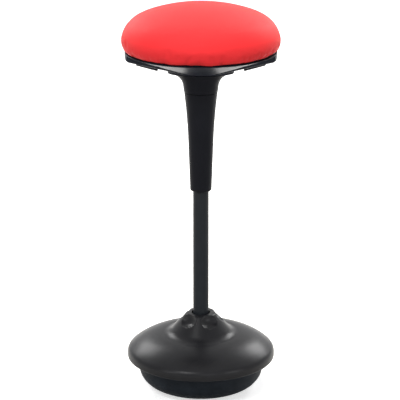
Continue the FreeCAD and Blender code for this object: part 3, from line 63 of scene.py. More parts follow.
class Shader:
    """A material being built: its node tree, its surface shader and short ways to add nodes."""

    def __init__(self, name):
        self.material = bpy.data.materials.new(name)
        self.material.use_nodes = True
        self.tree = self.material.node_tree
        self.surface = self.tree.nodes["Principled BSDF"]
        self.output = self.tree.nodes["Material Output"]

    def add(self, kind, **settings):
        node = self.tree.nodes.new(kind)
        for name, value in settings.items():
            setattr(node, name, value)
        return node

    def link(self, source, target):
        self.tree.links.new(source, target)

    def set(self, **values):
        """Constants of the surface shader, such as roughness=0.4."""
        for name, value in values.items():
            self.surface.inputs[name.replace("_", " ").title()].default_value = value

    def gloss(self, level):
        """Strength of the clear reflection over the colour."""
        self.surface.inputs["Specular IOR Level"].default_value = level

    def drive(self, source, name):
        """Feeds a socket of the surface shader."""
        self.link(source, self.surface.inputs[name])

    def place(self):
        """Object coordinates."""
        return self.add("ShaderNodeTexCoord").outputs["Object"]

    def grain(self, size, detail=2.0, roughness=0.5):
        """Noise whose features are about size metres across."""
        node = self.add("ShaderNodeTexNoise")
        node.inputs["Scale"].default_value = 1.0 / size
        node.inputs["Detail"].default_value = detail
        node.inputs["Roughness"].default_value = roughness
        self.link(self.place(), node.inputs["Vector"])
        return node.outputs["Fac"]

    def ramp(self, factor, low, high, start=0.3, end=0.7):
        """Colour between low and high, driven by factor."""
        node = self.add("ShaderNodeValToRGB")
        node.color_ramp.elements[0].position = start
        node.color_ramp.elements[0].color = (*low, 1)
        node.color_ramp.elements[1].position = end
        node.color_ramp.elements[1].color = (*high, 1)
        self.link(factor, node.inputs["Fac"])
        return node.outputs["Color"]

    def span(self, factor, low, high):
        """Number between low and high, driven by factor."""
        node = self.add("ShaderNodeMapRange")
        node.inputs["To Min"].default_value = low
        node.inputs["To Max"].default_value = high
        self.link(factor, node.inputs["Value"])
        return node.outputs["Result"]

    def bump(self, height, depth, strength=1.0, under=None):
        """Bump that is depth metres deep."""
        node = self.add("ShaderNodeBump")
        node.inputs["Strength"].default_value = strength
        node.inputs["Distance"].default_value = depth
        self.link(height, node.inputs["Height"])
        if under is not None:
            self.link(under, node.inputs["Normal"])
        return node.outputs["Normal"]


def shade(colour, share):
    """Colour made lighter or darker by a share."""
    return tuple(max(0.0, min(1.0, channel * share)) for channel in colour)


def moulded_plastic(name, colour, roughness, edge=0.0012, gloss=0.5):
    """Moulded plastic: spark-eroded grain, faint flow mottling, uneven gloss, rounded edges."""
    shader = Shader(name)
    flow = shader.grain(0.05, detail=4.0)
    skin = shader.grain(0.0006, detail=1.0)
    shader.drive(shader.ramp(flow, shade(colour, 0.88), shade(colour, 1.12)), "Base Color")
    shader.drive(shader.span(flow, roughness - 0.04, roughness + 0.05), "Roughness")
    shader.gloss(gloss)
    rounded = shader.add("ShaderNodeBevel", samples=6)
    rounded.inputs["Radius"].default_value = edge
    shader.drive(shader.bump(skin, 0.00003, under=rounded.outputs["Normal"]), "Normal")
    return shader.material


def rubber(name, colour, roughness):
    """Dark rubbery moulding with a bloom of fine specks."""
    shader = Shader(name)
    flow = shader.grain(0.03, detail=5.0)
    specks = shader.grain(0.0012, detail=2.0)
    shader.drive(shader.ramp(flow, shade(colour, 0.8), shade(colour, 1.25)), "Base Color")
    shader.drive(shader.span(specks, roughness - 0.05, roughness + 0.08), "Roughness")
    shader.gloss(0.06)
    shader.drive(shader.bump(specks, 0.00005), "Normal")
    return shader.material


def coated_steel(name, colour, roughness):
    """Powder-coated steel tube: faint orange peel under a satin coat."""
    shader = Shader(name)
    peel = shader.grain(0.0022, detail=1.5)
    dust = shader.grain(0.04, detail=4.0)
    shader.drive(shader.ramp(dust, shade(colour, 0.9), shade(colour, 1.12)), "Base Color")
    shader.drive(shader.span(dust, roughness - 0.03, roughness + 0.05), "Roughness")
    shader.gloss(0.06)
    shader.drive(shader.bump(peel, 0.00006), "Normal")
    return shader.material


def bare_metal(name, colour, roughness, streak=0.002):
    """Plated or ground metal with fine lay marks round the axis."""
    shader = Shader(name)
    lay = shader.add("ShaderNodeTexNoise")
    lay.inputs["Scale"].default_value = 1.0 / streak
    lay.inputs["Detail"].default_value = 3.0
    stretch = shader.add("ShaderNodeMapping")
    stretch.inputs["Scale"].default_value = (0.2, 0.2, 4.0)
    shader.link(shader.place(), stretch.inputs["Vector"])
    shader.link(stretch.outputs["Vector"], lay.inputs["Vector"])
    marks = lay.outputs["Fac"]
    shader.set(metallic=1.0)
    shader.drive(shader.ramp(marks, shade(colour, 0.88), shade(colour, 1.06)), "Base Color")
    shader.drive(shader.span(marks, max(0.03, roughness - 0.06), roughness + 0.08), "Roughness")
    shader.drive(shader.bump(marks, 0.00002), "Normal")
    return shader.material


def cast_iron(name, colour):
    """Rough sand-cast iron."""
    shader = Shader(name)
    lumps = shader.grain(0.003, detail=5.0)
    shader.set(metallic=0.6)
    shader.drive(shader.ramp(lumps, shade(colour, 0.6), shade(colour, 1.4)), "Base Color")
    shader.drive(shader.span(lumps, 0.6, 0.85), "Roughness")
    shader.drive(shader.bump(lumps, 0.0004), "Normal")
    return shader.material


def plywood(name, colour):
    """Raw plywood: long grain on the faces, plies on the edge."""
    shader = Shader(name)
    rings = shader.add("ShaderNodeTexWave", wave_type="BANDS", bands_direction="Y")
    rings.inputs["Scale"].default_value = 40.0
    rings.inputs["Distortion"].default_value = 6.0
    rings.inputs["Detail"].default_value = 3.0
    stretch = shader.add("ShaderNodeMapping")
    stretch.inputs["Scale"].default_value = (0.12, 1.0, 1.0)
    shader.link(shader.place(), stretch.inputs["Vector"])
    shader.link(stretch.outputs["Vector"], rings.inputs["Vector"])
    shader.drive(shader.ramp(rings.outputs["Fac"], shade(colour, 0.8), shade(colour, 1.1)),
                 "Base Color")
    shader.set(roughness=0.7)
    shader.drive(shader.bump(rings.outputs["Fac"], 0.0002), "Normal")
    return shader.material


def seat_fabric(name, settings):
    """Fine plain-woven wool: threads both ways, faint clouding, fibre fuzz and sheen."""
    shader = Shader(name)
    colour = tuple(settings.colour)
    threads = []
    for direction in ("X", "Y"):
        wave = shader.add("ShaderNodeTexWave", wave_type="BANDS", bands_direction=direction)
        wave.inputs["Scale"].default_value = WAVE_PERIOD / settings.thread
        wave.inputs["Distortion"].default_value = 1.2
        wave.inputs["Detail"].default_value = 1.0
        wave.inputs["Detail Scale"].default_value = 2.0
        shader.link(shader.place(), wave.inputs["Vector"])
        threads.append(wave.outputs["Fac"])
    weave = shader.add("ShaderNodeMath", operation="MULTIPLY")
    shader.link(threads[0], weave.inputs[0])
    shader.link(threads[1], weave.inputs[1])
    fuzz = shader.grain(0.0009, detail=3.0)
    cloud = shader.grain(0.045, detail=3.0)
    tone = shader.ramp(cloud, shade(colour, 0.95), colour)
    speck = shader.ramp(fuzz, shade(colour, 0.9), colour)
    mix = shader.add("ShaderNodeMix", data_type="RGBA")
    mix.inputs["Factor"].default_value = 0.5
    shader.link(tone, mix.inputs["A"])
    shader.link(speck, mix.inputs["B"])
    shader.drive(mix.outputs["Result"], "Base Color")
    shader.drive(shader.span(fuzz, 0.5, 0.65), "Roughness")
    shader.gloss(0.12)
    shader.set(sheen_weight=0.08, sheen_roughness=0.4, sheen_tint=(1.0, 0.7, 0.55, 1.0))
    under = shader.bump(fuzz, 0.00012)
    shader.drive(shader.bump(weave.outputs["Value"], 0.0001, under=under), "Normal")
    return shader.material


# Settings that a user would change

class CushionSettings(PropertyGroup):
    """Seat cushion."""
    colour: FloatVectorProperty(
        name="Fabric colour", description="Colour of the cover fabric", subtype="COLOR",
        size=3, min=0.0, max=1.0, default=(0.95, 0.036, 0.042))
    thread: FloatProperty(
        name="Thread spacing", description="Distance between the threads of the weave",
        subtype="DISTANCE", default=0.0009, min=0.0003, max=0.004)
    voxel: FloatProperty(
        name="Cloth cell", description="Cell size of the simulated cover",
        subtype="DISTANCE", default=0.005, min=0.003, max=0.012)
    swell: FloatProperty(
        name="Most swell", description="Farthest that the simulation may move a point",
        subtype="DISTANCE", default=0.006, min=0.001, max=0.02)


class PlasticSettings(PropertyGroup):
    """Colours of the moulded parts."""
    cover: FloatVectorProperty(
        name="Base cover", description="Colour of the domed base cover", subtype="COLOR",
        size=3, min=0.0, max=1.0, default=(0.0115, 0.0117, 0.0138))
    bowl: FloatVectorProperty(
        name="Lower bowl", description="Colour of the rounded bowl", subtype="COLOR",
        size=3, min=0.0, max=1.0, default=(0.018, 0.0225, 0.029))
    sleeve: FloatVectorProperty(
        name="Sleeve", description="Colour of the sleeve and neck", subtype="COLOR",
        size=3, min=0.0, max=1.0, default=(0.0110, 0.0115, 0.0150))
    dish: FloatVectorProperty(
        name="Dish", description="Colour of the dish under the seat", subtype="COLOR",
        size=3, min=0.0, max=1.0, default=(0.0215, 0.0245, 0.034))
    tube: FloatVectorProperty(
        name="Column tube", description="Colour of the coated lower tube", subtype="COLOR",
        size=3, min=0.0, max=1.0, default=(0.023, 0.0265, 0.031))


class CoverSettings(PropertyGroup):
    """Dimples round the hub of the base cover."""
    count: IntProperty(
        name="Dimples", description="Number of dimples round the hub", default=5, min=1, max=12)
    turn: FloatProperty(
        name="First dimple", description="Angle from the front to the first dimple",
        subtype="ANGLE", default=math.radians(28), min=-3.2, max=3.2)
    reach: FloatProperty(
        name="Dimple reach", description="Distance of a dimple's middle from the column's axis",
        subtype="DISTANCE", default=0.040, min=0.025, max=0.07)
    half_width: FloatProperty(
        name="Half width", description="Half the width of a dimple round the hub",
        subtype="DISTANCE", default=0.018, min=0.004, max=0.025)
    half_height: FloatProperty(
        name="Half height", description="Half the height of a dimple along the hub's slope",
        subtype="DISTANCE", default=0.0175, min=0.004, max=0.022)
    depth: FloatProperty(
        name="Depth", description="Depth of a dimple",
        subtype="DISTANCE", default=0.0085, min=0.001, max=0.012)
    lip: FloatProperty(
        name="Edge softness", description="Height over which a dimple's edge is rounded",
        subtype="DISTANCE", default=0.0005, min=0.0001, max=0.003)


class StageSettings(PropertyGroup):
    """Camera, floor and lamps."""
    focal: FloatProperty(
        name="Focal length", description="Focal length on a 36 mm wide frame, in millimetres",
        default=163.08, min=20.0, max=400.0)
    tilt: FloatProperty(
        name="Camera tilt", description="How far the camera looks down",
        subtype="ANGLE", default=0.3, min=0.0, max=1.5)
    distance: FloatProperty(
        name="Camera distance", description="Level distance from the column to the camera",
        subtype="DISTANCE", default=3.7215, min=0.5, max=20.0)
    height: FloatProperty(
        name="Camera height", description="Height of the camera above the floor",
        subtype="DISTANCE", default=1.565, min=0.0, max=10.0)
    lamp_power: FloatProperty(
        name="Lamp power", description="Power that each lamp has a share of, in watts",
        default=36.0, min=0.0, max=500.0)
    sky_light: FloatProperty(
        name="Sky light", description="Strength of the pale surroundings as a light",
        default=0.75, min=0.0, max=4.0)
    background: FloatProperty(
        name="Background", description="Brightness of the seen background",
        default=1.0, min=0.0, max=1.0)
    floor_glow: FloatProperty(
        name="Floor glow", description="Whiteness added to the floor near the stool",
        default=0.6, min=0.0, max=1.0)


# Stage: each lamp's name, place, width and share of the lamp power

LAMPS = (
    ("top_light", (0.2, 0.1, 3.0), 1.6, 2.05),
    ("key_light", (-1.0, -2.0, 2.3), 0.8, 0.85),
    ("front_light", (0.7, -3.6, 1.5), 1.2, 0.3),
    ("left_light", (-2.4, -2.2, 1.3), 1.0, 0.35),
    ("right_light", (2.5, -2.0, 1.3), 1.2, 0.5),
    ("back_left_light", (-1.6, 2.2, 1.9), 1.1, 0.9),
    ("back_right_light", (1.7, 2.2, 1.9), 1.1, 1.1),
)
LAMP_AIM = Vector((0, 0, 0.45))
OVERHEAD_COLOUR = (1.0, 0.94, 0.82)
CAMERA_SHIFT = (-0.0022, 0.0125)
FLOOR_REACH = 12.0
# The floor's own glow rises to full between these distances from the stool.
GLOW_START = 0.3
GLOW_END = 1.8
# What the floor sends back as light is dull, so it doesn't brighten the stool from below.
FLOOR_BOUNCE = (0.25, 0.25, 0.25, 1)


class STOOL_OT_stage(Operator):
    """Camera, white floor, lamps and studio sky"""
    bl_idname = "stool.stage"
    bl_label = "Stage"

    def execute(self, context):
        settings = context.scene.stool_stage
        scene = context.scene
        camera_data = bpy.data.cameras.new("camera")
        camera_data.sensor_width = 36.0
        camera_data.lens = settings.focal
        camera_data.shift_x, camera_data.shift_y = CAMERA_SHIFT
        camera = bpy.data.objects.new("camera", camera_data)
        camera.location = (0, -settings.distance, settings.height)
        camera.rotation_euler = (math.pi / 2 - settings.tilt, 0, 0)
        scene.collection.objects.link(camera)
        scene.camera = camera
        lamps = {name: self.lamp(scene, name, place, size, settings.lamp_power * share)
                 for name, place, size, share in LAMPS}
        overhead = lamps["top_light"]
        overhead.data.color = OVERHEAD_COLOUR
        overhead.visible_glossy = False
        self.floor(scene, settings)
        self.sky(scene, settings)
        scene.view_settings.view_transform = "Standard"
        return {"FINISHED"}

    def lamp(self, scene, name, place, size, power):
        """Square soft light aimed at the stool's middle."""
        data = bpy.data.lights.new(name, "AREA")
        data.shape = "SQUARE"
        data.size = size
        data.energy = power
        lamp = bpy.data.objects.new(name, data)
        lamp.location = place
        aim = LAMP_AIM - Vector(place)
        lamp.rotation_euler = aim.to_track_quat("-Z", "Y").to_euler()
        scene.collection.objects.link(lamp)
        return lamp

    def floor(self, scene, settings):
        """Wide level floor, seen white and shaded only by the stool."""
        mesh = bpy.data.meshes.new("floor")
        corners = [(x * FLOOR_REACH, y * FLOOR_REACH, 0)
                   for x, y in ((-1, -1), (1, -1), (1, 1), (-1, 1))]
        mesh.from_pydata(corners, [], [(0, 1, 2, 3)])
        floor = bpy.data.objects.new("floor", mesh)
        scene.collection.objects.link(floor)
        shader = Shader("floor_paper")
        shader.set(roughness=0.9)
        tone = shader.ramp(shader.grain(0.4), (0.86, 0.86, 0.86), (0.88, 0.88, 0.88))
        shader.drive(tone, "Base Color")
        glow = shader.add("ShaderNodeEmission")
        away = shader.add("ShaderNodeVectorMath", operation="LENGTH")
        shader.link(shader.place(), away.inputs[0])
        spread = shader.add("ShaderNodeMapRange")
        spread.inputs["From Min"].default_value = GLOW_START
        spread.inputs["From Max"].default_value = GLOW_END
        shader.link(away.outputs["Value"], spread.inputs["Value"])
        near = shader.add("ShaderNodeMath", operation="MULTIPLY")
        near.inputs[1].default_value = settings.floor_glow
        shader.link(shader.add("ShaderNodeLightPath").outputs["Is Camera Ray"], near.inputs[0])
        most = shader.add("ShaderNodeMath", operation="MAXIMUM")
        shader.link(spread.outputs["Result"], most.inputs[0])
        shader.link(near.outputs[0], most.inputs[1])
        shader.link(most.outputs[0], glow.inputs["Strength"])
        seen = shader.add("ShaderNodeAddShader")
        shader.link(shader.surface.outputs[0], seen.inputs[0])
        shader.link(glow.outputs[0], seen.inputs[1])
        dull = shader.add("ShaderNodeBsdfDiffuse")
        dull.inputs["Color"].default_value = FLOOR_BOUNCE
        mix = shader.add("ShaderNodeMixShader")
        shader.link(seen_rays(shader.tree), mix.inputs[0])
        shader.link(dull.outputs[0], mix.inputs[1])
        shader.link(seen.outputs[0], mix.inputs[2])
        shader.link(mix.outputs[0], shader.output.inputs["Surface"])
        mesh.materials.append(shader.material)

    def sky(self, scene, settings):
        """White to camera, mirrors and glass; as a light, pale behind and dim in front."""
        world = bpy.data.worlds.new("studio_sky")
        world.use_nodes = True
        scene.world = world
        tree = world.node_tree
        tree.nodes.clear()
        output = tree.nodes.new("ShaderNodeOutputWorld")
        light = tree.nodes.new("ShaderNodeBackground")
        light.inputs["Color"].default_value = (0.97, 0.98, 1.0, 1)
        way = tree.nodes.new("ShaderNodeTexCoord")
        parts = tree.nodes.new("ShaderNodeSeparateXYZ")
        tree.links.new(way.outputs["Generated"], parts.inputs[0])
        behind = self.ease(tree, parts.outputs["Y"], (-0.95, -0.1),
                           (0.12 * settings.sky_light, settings.sky_light))
        level = self.ease(tree, parts.outputs["Z"], (0.3, 0.65), (1.0, 0.25))
        strength = tree.nodes.new("ShaderNodeMath")
        strength.operation = "MULTIPLY"
        tree.links.new(behind, strength.inputs[0])
        tree.links.new(level, strength.inputs[1])
        tree.links.new(strength.outputs[0], light.inputs["Strength"])
        seen = tree.nodes.new("ShaderNodeBackground")
        seen.inputs["Color"].default_value = (1, 1, 1, 1)
        seen.inputs["Strength"].default_value = settings.background
        mix = tree.nodes.new("ShaderNodeMixShader")
        tree.links.new(seen_rays(tree), mix.inputs[0])
        tree.links.new(light.outputs[0], mix.inputs[1])
        tree.links.new(seen.outputs[0], mix.inputs[2])
        tree.links.new(mix.outputs[0], output.inputs["Surface"])

    def ease(self, tree, value, given, wanted):
        """Number that eases over the wanted span while value crosses the given one."""
        node = tree.nodes.new("ShaderNodeMapRange")
        node.interpolation_type = "SMOOTHSTEP"
        node.inputs["From Min"].default_value, node.inputs["From Max"].default_value = given
        node.inputs["To Min"].default_value, node.inputs["To Max"].default_value = wanted
        tree.links.new(value, node.inputs["Value"])
        return node.outputs["Result"]


def seen_rays(tree):
    """1 for rays from the camera and from mirrors or glass, 0 for light that bounces."""
    path = tree.nodes.new("ShaderNodeLightPath")
    total = path.outputs["Is Camera Ray"]
    for name in ("Is Glossy Ray", "Is Transmission Ray"):
        largest = tree.nodes.new("ShaderNodeMath")
        largest.operation = "MAXIMUM"
        tree.links.new(total, largest.inputs[0])
        tree.links.new(path.outputs[name], largest.inputs[1])
        total = largest.outputs[0]
    return total


# Materials of the pieces that stay as the CAD made them

def give_material(material, *names):
    """Puts one material in the slots of CAD nodes."""
    for name in names:
        slots = NODES[name].material_slots
        if not slots:
            NODES[name].data.materials.append(material)
            continue
        for place in slots:
            place.material = material


class STOOL_OT_plastics(Operator):
    """Moulded bowl, sleeve, neck, dish, levers, rubber feet and bush"""
    bl_idname = "stool.plastics"
    bl_label = "Moulded parts"

    def execute(self, context):
        colours = context.scene.stool_plastic
        give_material(rubber("bowl_rubber", tuple(colours.bowl), 0.42), "rocker_shell")
        give_material(moulded_plastic("sleeve_plastic", tuple(colours.sleeve), 0.38, gloss=0.04),
                      "upper_sleeve", "neck_collar")
        dish = tuple(colours.dish)
        give_material(moulded_plastic("dish_plastic", dish, 0.36, gloss=0.08), "seat_shell")
        give_material(moulded_plastic("lever_plastic", shade(dish, 0.4), 0.4, gloss=0.08),
                      "right_lever", "left_lever")
        give_material(rubber("foot_rubber", (0.03, 0.03, 0.031), 0.7), "foot_pad", "rubber_bumper")
        give_material(moulded_plastic("bush_nylon", (0.72, 0.71, 0.67), 0.5), "guide_bush")
        return {"FINISHED"}


class STOOL_OT_metals(Operator):
    """Tube, gas spring, bracket, bearing and fasteners"""
    bl_idname = "stool.metals"
    bl_label = "Metal parts"

    def execute(self, context):
        tube = tuple(context.scene.stool_plastic.tube)
        give_material(coated_steel("tube_coat", tube, 0.3), "lower_tube")
        give_material(coated_steel("black_coat", shade(tube, 0.7), 0.4),
                      "gas_cylinder", "column_socket", "taper_socket", "seat_bracket")
        give_material(bare_metal("zinc_plate", (0.62, 0.62, 0.6), 0.3),
                      "cover_screws", "column_bolts", "column_nuts", "shell_screws", "tee_nuts",
                      "bracket_bolts", "right_lever_pin", "left_lever_pin", "valve_presser",
                      "rod_clip")
        give_material(bare_metal("bearing_steel", (0.5, 0.5, 0.5), 0.2),
                      "lower_washer", "ball_cage", "upper_washer")
        give_material(bare_metal("rod_chrome", (0.78, 0.78, 0.8), 0.08),
                      "piston_rod", "valve_pin")
        give_material(cast_iron("ballast_iron", (0.09, 0.09, 0.09)), "ballast")
        give_material(plywood("board_plywood", (0.55, 0.4, 0.24)), "seat_board")
        return {"FINISHED"}


# Geometry Nodes helper

class Tree:
    """A geometry node tree being built, with named inputs and short ways to add nodes."""

    def __init__(self, name, inputs):
        self.group = bpy.data.node_groups.new(name, "GeometryNodeTree")
        face = self.group.interface
        face.new_socket("Geometry", in_out="OUTPUT", socket_type="NodeSocketGeometry")
        self.keys = {}
        for label, kind, value in inputs:
            socket = face.new_socket(label, in_out="INPUT", socket_type=kind)
            if value is not None:
                socket.default_value = value
            self.keys[label] = socket.identifier
        self.source = self.group.nodes.new("NodeGroupInput")
        self.sink = self.group.nodes.new("NodeGroupOutput")

    def add(self, kind, links=None, values=None, **settings):
        node = self.group.nodes.new(kind)
        for name, value in settings.items():
            setattr(node, name, value)
        for name, value in (values or {}).items():
            node.inputs[name].default_value = value
        for name, source in (links or {}).items():
            self.group.links.new(source, node.inputs[name])
        return node

    def input(self, label):
        return self.source.outputs[label]

    def math(self, operation, first, second):
        """Number worked out from two sockets or plain numbers."""
        node = self.group.nodes.new("ShaderNodeMath")
        node.operation = operation
        for place, value in enumerate((first, second)):
            if isinstance(value, (int, float)):
                node.inputs[place].default_value = value
            else:
                self.group.links.new(value, node.inputs[place])
        return node.outputs[0]

    def vector(self, x=0.0, y=0.0, z=0.0):
        """Vector from sockets or plain numbers."""
        node = self.group.nodes.new("ShaderNodeCombineXYZ")
        for place, value in enumerate((x, y, z)):
            if isinstance(value, (int, float)):
                node.inputs[place].default_value = value
            else:
                self.group.links.new(value, node.inputs[place])
        return node.outputs[0]

    def moved(self, geometry, offset):
        """Geometry moved by a vector socket."""
        return self.add("GeometryNodeTransform",
                        {"Geometry": geometry, "Translation": offset}).outputs[0]

    def joined(self, *parts):
        node = self.group.nodes.new("GeometryNodeJoinGeometry")
        for part in parts:
            self.group.links.new(part, node.inputs[0])
        return node.outputs[0]

    def finish(self, geometry, material):
        """Ends the tree: real geometry with one material."""
        real = self.add("GeometryNodeRealizeInstances", {"Geometry": geometry}).outputs[0]
        dressed = self.add("GeometryNodeSetMaterial", {"Geometry": real})
        dressed.inputs["Material"].default_value = material
        self.group.links.new(dressed.outputs[0], self.sink.inputs["Geometry"])

    def bake(self, name, values, material):
        """Runs the tree with these inputs and returns the result as a plain mesh object."""
        carrier = bpy.data.objects.new(name, bpy.data.meshes.new(name))
        bpy.context.scene.collection.objects.link(carrier)
        modifier = carrier.modifiers.new(name, "NODES")
        modifier.node_group = self.group
        for label, value in values.items():
            modifier[self.keys[label]] = value
        graph = bpy.context.evaluated_depsgraph_get()
        mesh = bpy.data.meshes.new_from_object(carrier.evaluated_get(graph))
        carrier.modifiers.clear()
        carrier.data = mesh
        if not mesh.materials:
            mesh.materials.append(material)
        return carrier


def screw_tree(material):
    """Pan-head screws with a cross recess, heads down, evenly round the column."""
    tree = Tree("ring_of_screws", [
        ("Count", "NodeSocketInt", 4), ("Circle", "NodeSocketFloat", 0.1),
        ("Start", "NodeSocketFloat", 0.0), ("Seat", "NodeSocketFloat", 0.0),
        ("Head Radius", "NodeSocketFloat", 0.0045), ("Head Height", "NodeSocketFloat", 0.0035),
        ("Shank Radius", "NodeSocketFloat", 0.002), ("Shank Length", "NodeSocketFloat", 0.02),
    ])
    half_head = tree.math("MULTIPLY", tree.input("Head Height"), 0.5)
    skirt = tree.add("GeometryNodeMeshCone", {
        "Radius Bottom": tree.math("MULTIPLY", tree.input("Head Radius"), 0.72),
        "Radius Top": tree.input("Head Radius"),
        "Depth": half_head,
    }, {"Vertices": 32})
    rim = tree.add("GeometryNodeMeshCylinder", {
        "Radius": tree.input("Head Radius"), "Depth": half_head}, {"Vertices": 32})
    low = tree.moved(skirt.outputs["Mesh"],
                     tree.vector(z=tree.math("MULTIPLY", tree.input("Head Height"), -1.0)))
    high = tree.moved(rim.outputs["Mesh"],
                      tree.vector(z=tree.math("MULTIPLY", tree.input("Head Height"), -0.25)))
    head = tree.joined(low, high)
    slot_length = tree.math("MULTIPLY", tree.input("Head Radius"), 1.1)
    slot_width = tree.math("MULTIPLY", tree.input("Head Radius"), 0.24)
    slots = []
    for x, y in ((slot_length, slot_width), (slot_width, slot_length)):
        bar = tree.add("GeometryNodeMeshCube", {
            "Size": tree.vector(x, y, tree.input("Head Height"))})
        slots.append(tree.moved(bar.outputs["Mesh"], tree.vector(
            z=tree.math("MULTIPLY", tree.input("Head Height"), -1.05))))
    recessed = tree.add("GeometryNodeMeshBoolean", operation="DIFFERENCE", solver="EXACT")
    tree.group.links.new(head, recessed.inputs["Mesh 1"])
    for bar in slots:
        tree.group.links.new(bar, recessed.inputs["Mesh 2"])
    shank = tree.add("GeometryNodeMeshCylinder", {
        "Radius": tree.input("Shank Radius"), "Depth": tree.input("Shank Length")},
        {"Vertices": 20})
    shank_place = tree.moved(shank.outputs["Mesh"], tree.vector(
        z=tree.math("MULTIPLY", tree.input("Shank Length"), 0.5)))
    screw = tree.joined(recessed.outputs["Mesh"], shank_place)
    ring = tree.add("GeometryNodeMeshCircle", {
        "Vertices": tree.input("Count"), "Radius": tree.input("Circle")})
    turned = tree.add("GeometryNodeTransform", {
        "Geometry": ring.outputs["Mesh"],
        "Translation": tree.vector(z=tree.input("Seat")),
        "Rotation": tree.vector(z=tree.input("Start"))})
    copies = tree.add("GeometryNodeInstanceOnPoints", {
        "Points": turned.outputs[0], "Instance": screw})
    tree.finish(copies.outputs["Instances"], material)
    return tree


# Screws, in metres: seat is the height of the face that the heads rest under

SCREW_HEAD = {"Head Radius": 0.0045, "Head Height": 0.0035}
BASE_SCREWS = {
    "Count": 5, "Start": -math.pi / 2, "Circle": 0.112, "Seat": 0.056,
    "Shank Radius": 0.002, "Shank Length": 0.026, **SCREW_HEAD,
}
DISH_SCREWS = {
    "Count": 4, "Start": math.pi / 4, "Circle": 0.125, "Seat": 0.746,
    "Shank Radius": 0.0022, "Shank Length": 0.018, **SCREW_HEAD,
}


class STOOL_OT_screws(Operator):
    """Cross-head screws under the base and under the dish"""
    bl_idname = "stool.screws"
    bl_label = "Screws"

    def execute(self, context):
        plating = bare_metal("screw_zinc", (0.6, 0.6, 0.58), 0.32, streak=0.0008)
        tree = screw_tree(plating)
        self.ring(tree, "base_screws", "cover_screws", "base", plating, BASE_SCREWS)
        self.ring(tree, "dish_screws", "shell_screws", "seat", plating, DISH_SCREWS)
        return {"FINISHED"}

    def ring(self, tree, name, node, body, material, values):
        """One ring of screws in place of a CAD node."""
        screws = tree.bake(name, values, material)
        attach(screws, body)
        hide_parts(node)


# Turned forms

def arc(centre, radius, start, end, steps):
    """Points of an arc in the section plane, angles in radians from level."""
    return [(centre[0] + radius * math.cos(start + (end - start) * k / steps),
             centre[1] + radius * math.sin(start + (end - start) * k / steps))
            for k in range(steps + 1)]


def spin_section(name, section, steps, ring=False):
    """Solid of revolution through (radius, height) points from axis to axis, or round a ring."""
    mesh = bpy.data.meshes.new(name)
    form = bmesh.new()
    rings = []
    for radius, height in section:
        if radius < 1e-6:
            rings.append([form.verts.new((0, 0, height))])
            continue
        rings.append([
            form.verts.new((radius * math.cos(math.tau * k / steps),
                            radius * math.sin(math.tau * k / steps), height))
            for k in range(steps)])
    pairs = list(zip(rings, rings[1:])) + ([(rings[-1], rings[0])] if ring else [])
    for upper, lower in pairs:
        for k in range(steps):
            corners = [upper[k % len(upper)], lower[k % len(lower)],
                       lower[(k + 1) % len(lower)], upper[(k + 1) % len(upper)]]
            unique = list(dict.fromkeys(corners))
            if len(unique) > 2:
                form.faces.new(unique)
    bmesh.ops.recalc_face_normals(form, faces=form.faces)
    form.to_mesh(mesh)
    form.free()
    return mesh


# Base cover: section of its dome and hub, in metres

COVER_RADIUS = (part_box("base_cover")[1][0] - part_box("base_cover")[0][0]) / 2
LIP_HEIGHT = 0.070
HUB_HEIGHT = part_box("base_cover")[1][2]
RIM_HEIGHT = 0.080
RIM_ROUND = 0.016
RIM_SWEEP = math.radians(50)
CROWN_ROUND = 0.130
HUB_TOP_RADIUS = 0.032
HUB_BORE = 0.0205
HUB_FOOT_ROUND = 0.030
HUB_EDGE_ROUND = 0.006
HUB_ROOF = 0.019
COVER_WALL = 0.004
LIP_ROUND = 0.003
COVER_STEPS = 360
# Dimples reach no farther than this from their middles and from the hub's foot.
SCOOP_REACH = 0.030
SCOOP_DROP = 0.010
# The hub's outer skin lies outside its bore and within this depth of its top.
SKIN_START = 0.002
SKIN_DEPTH = 0.055


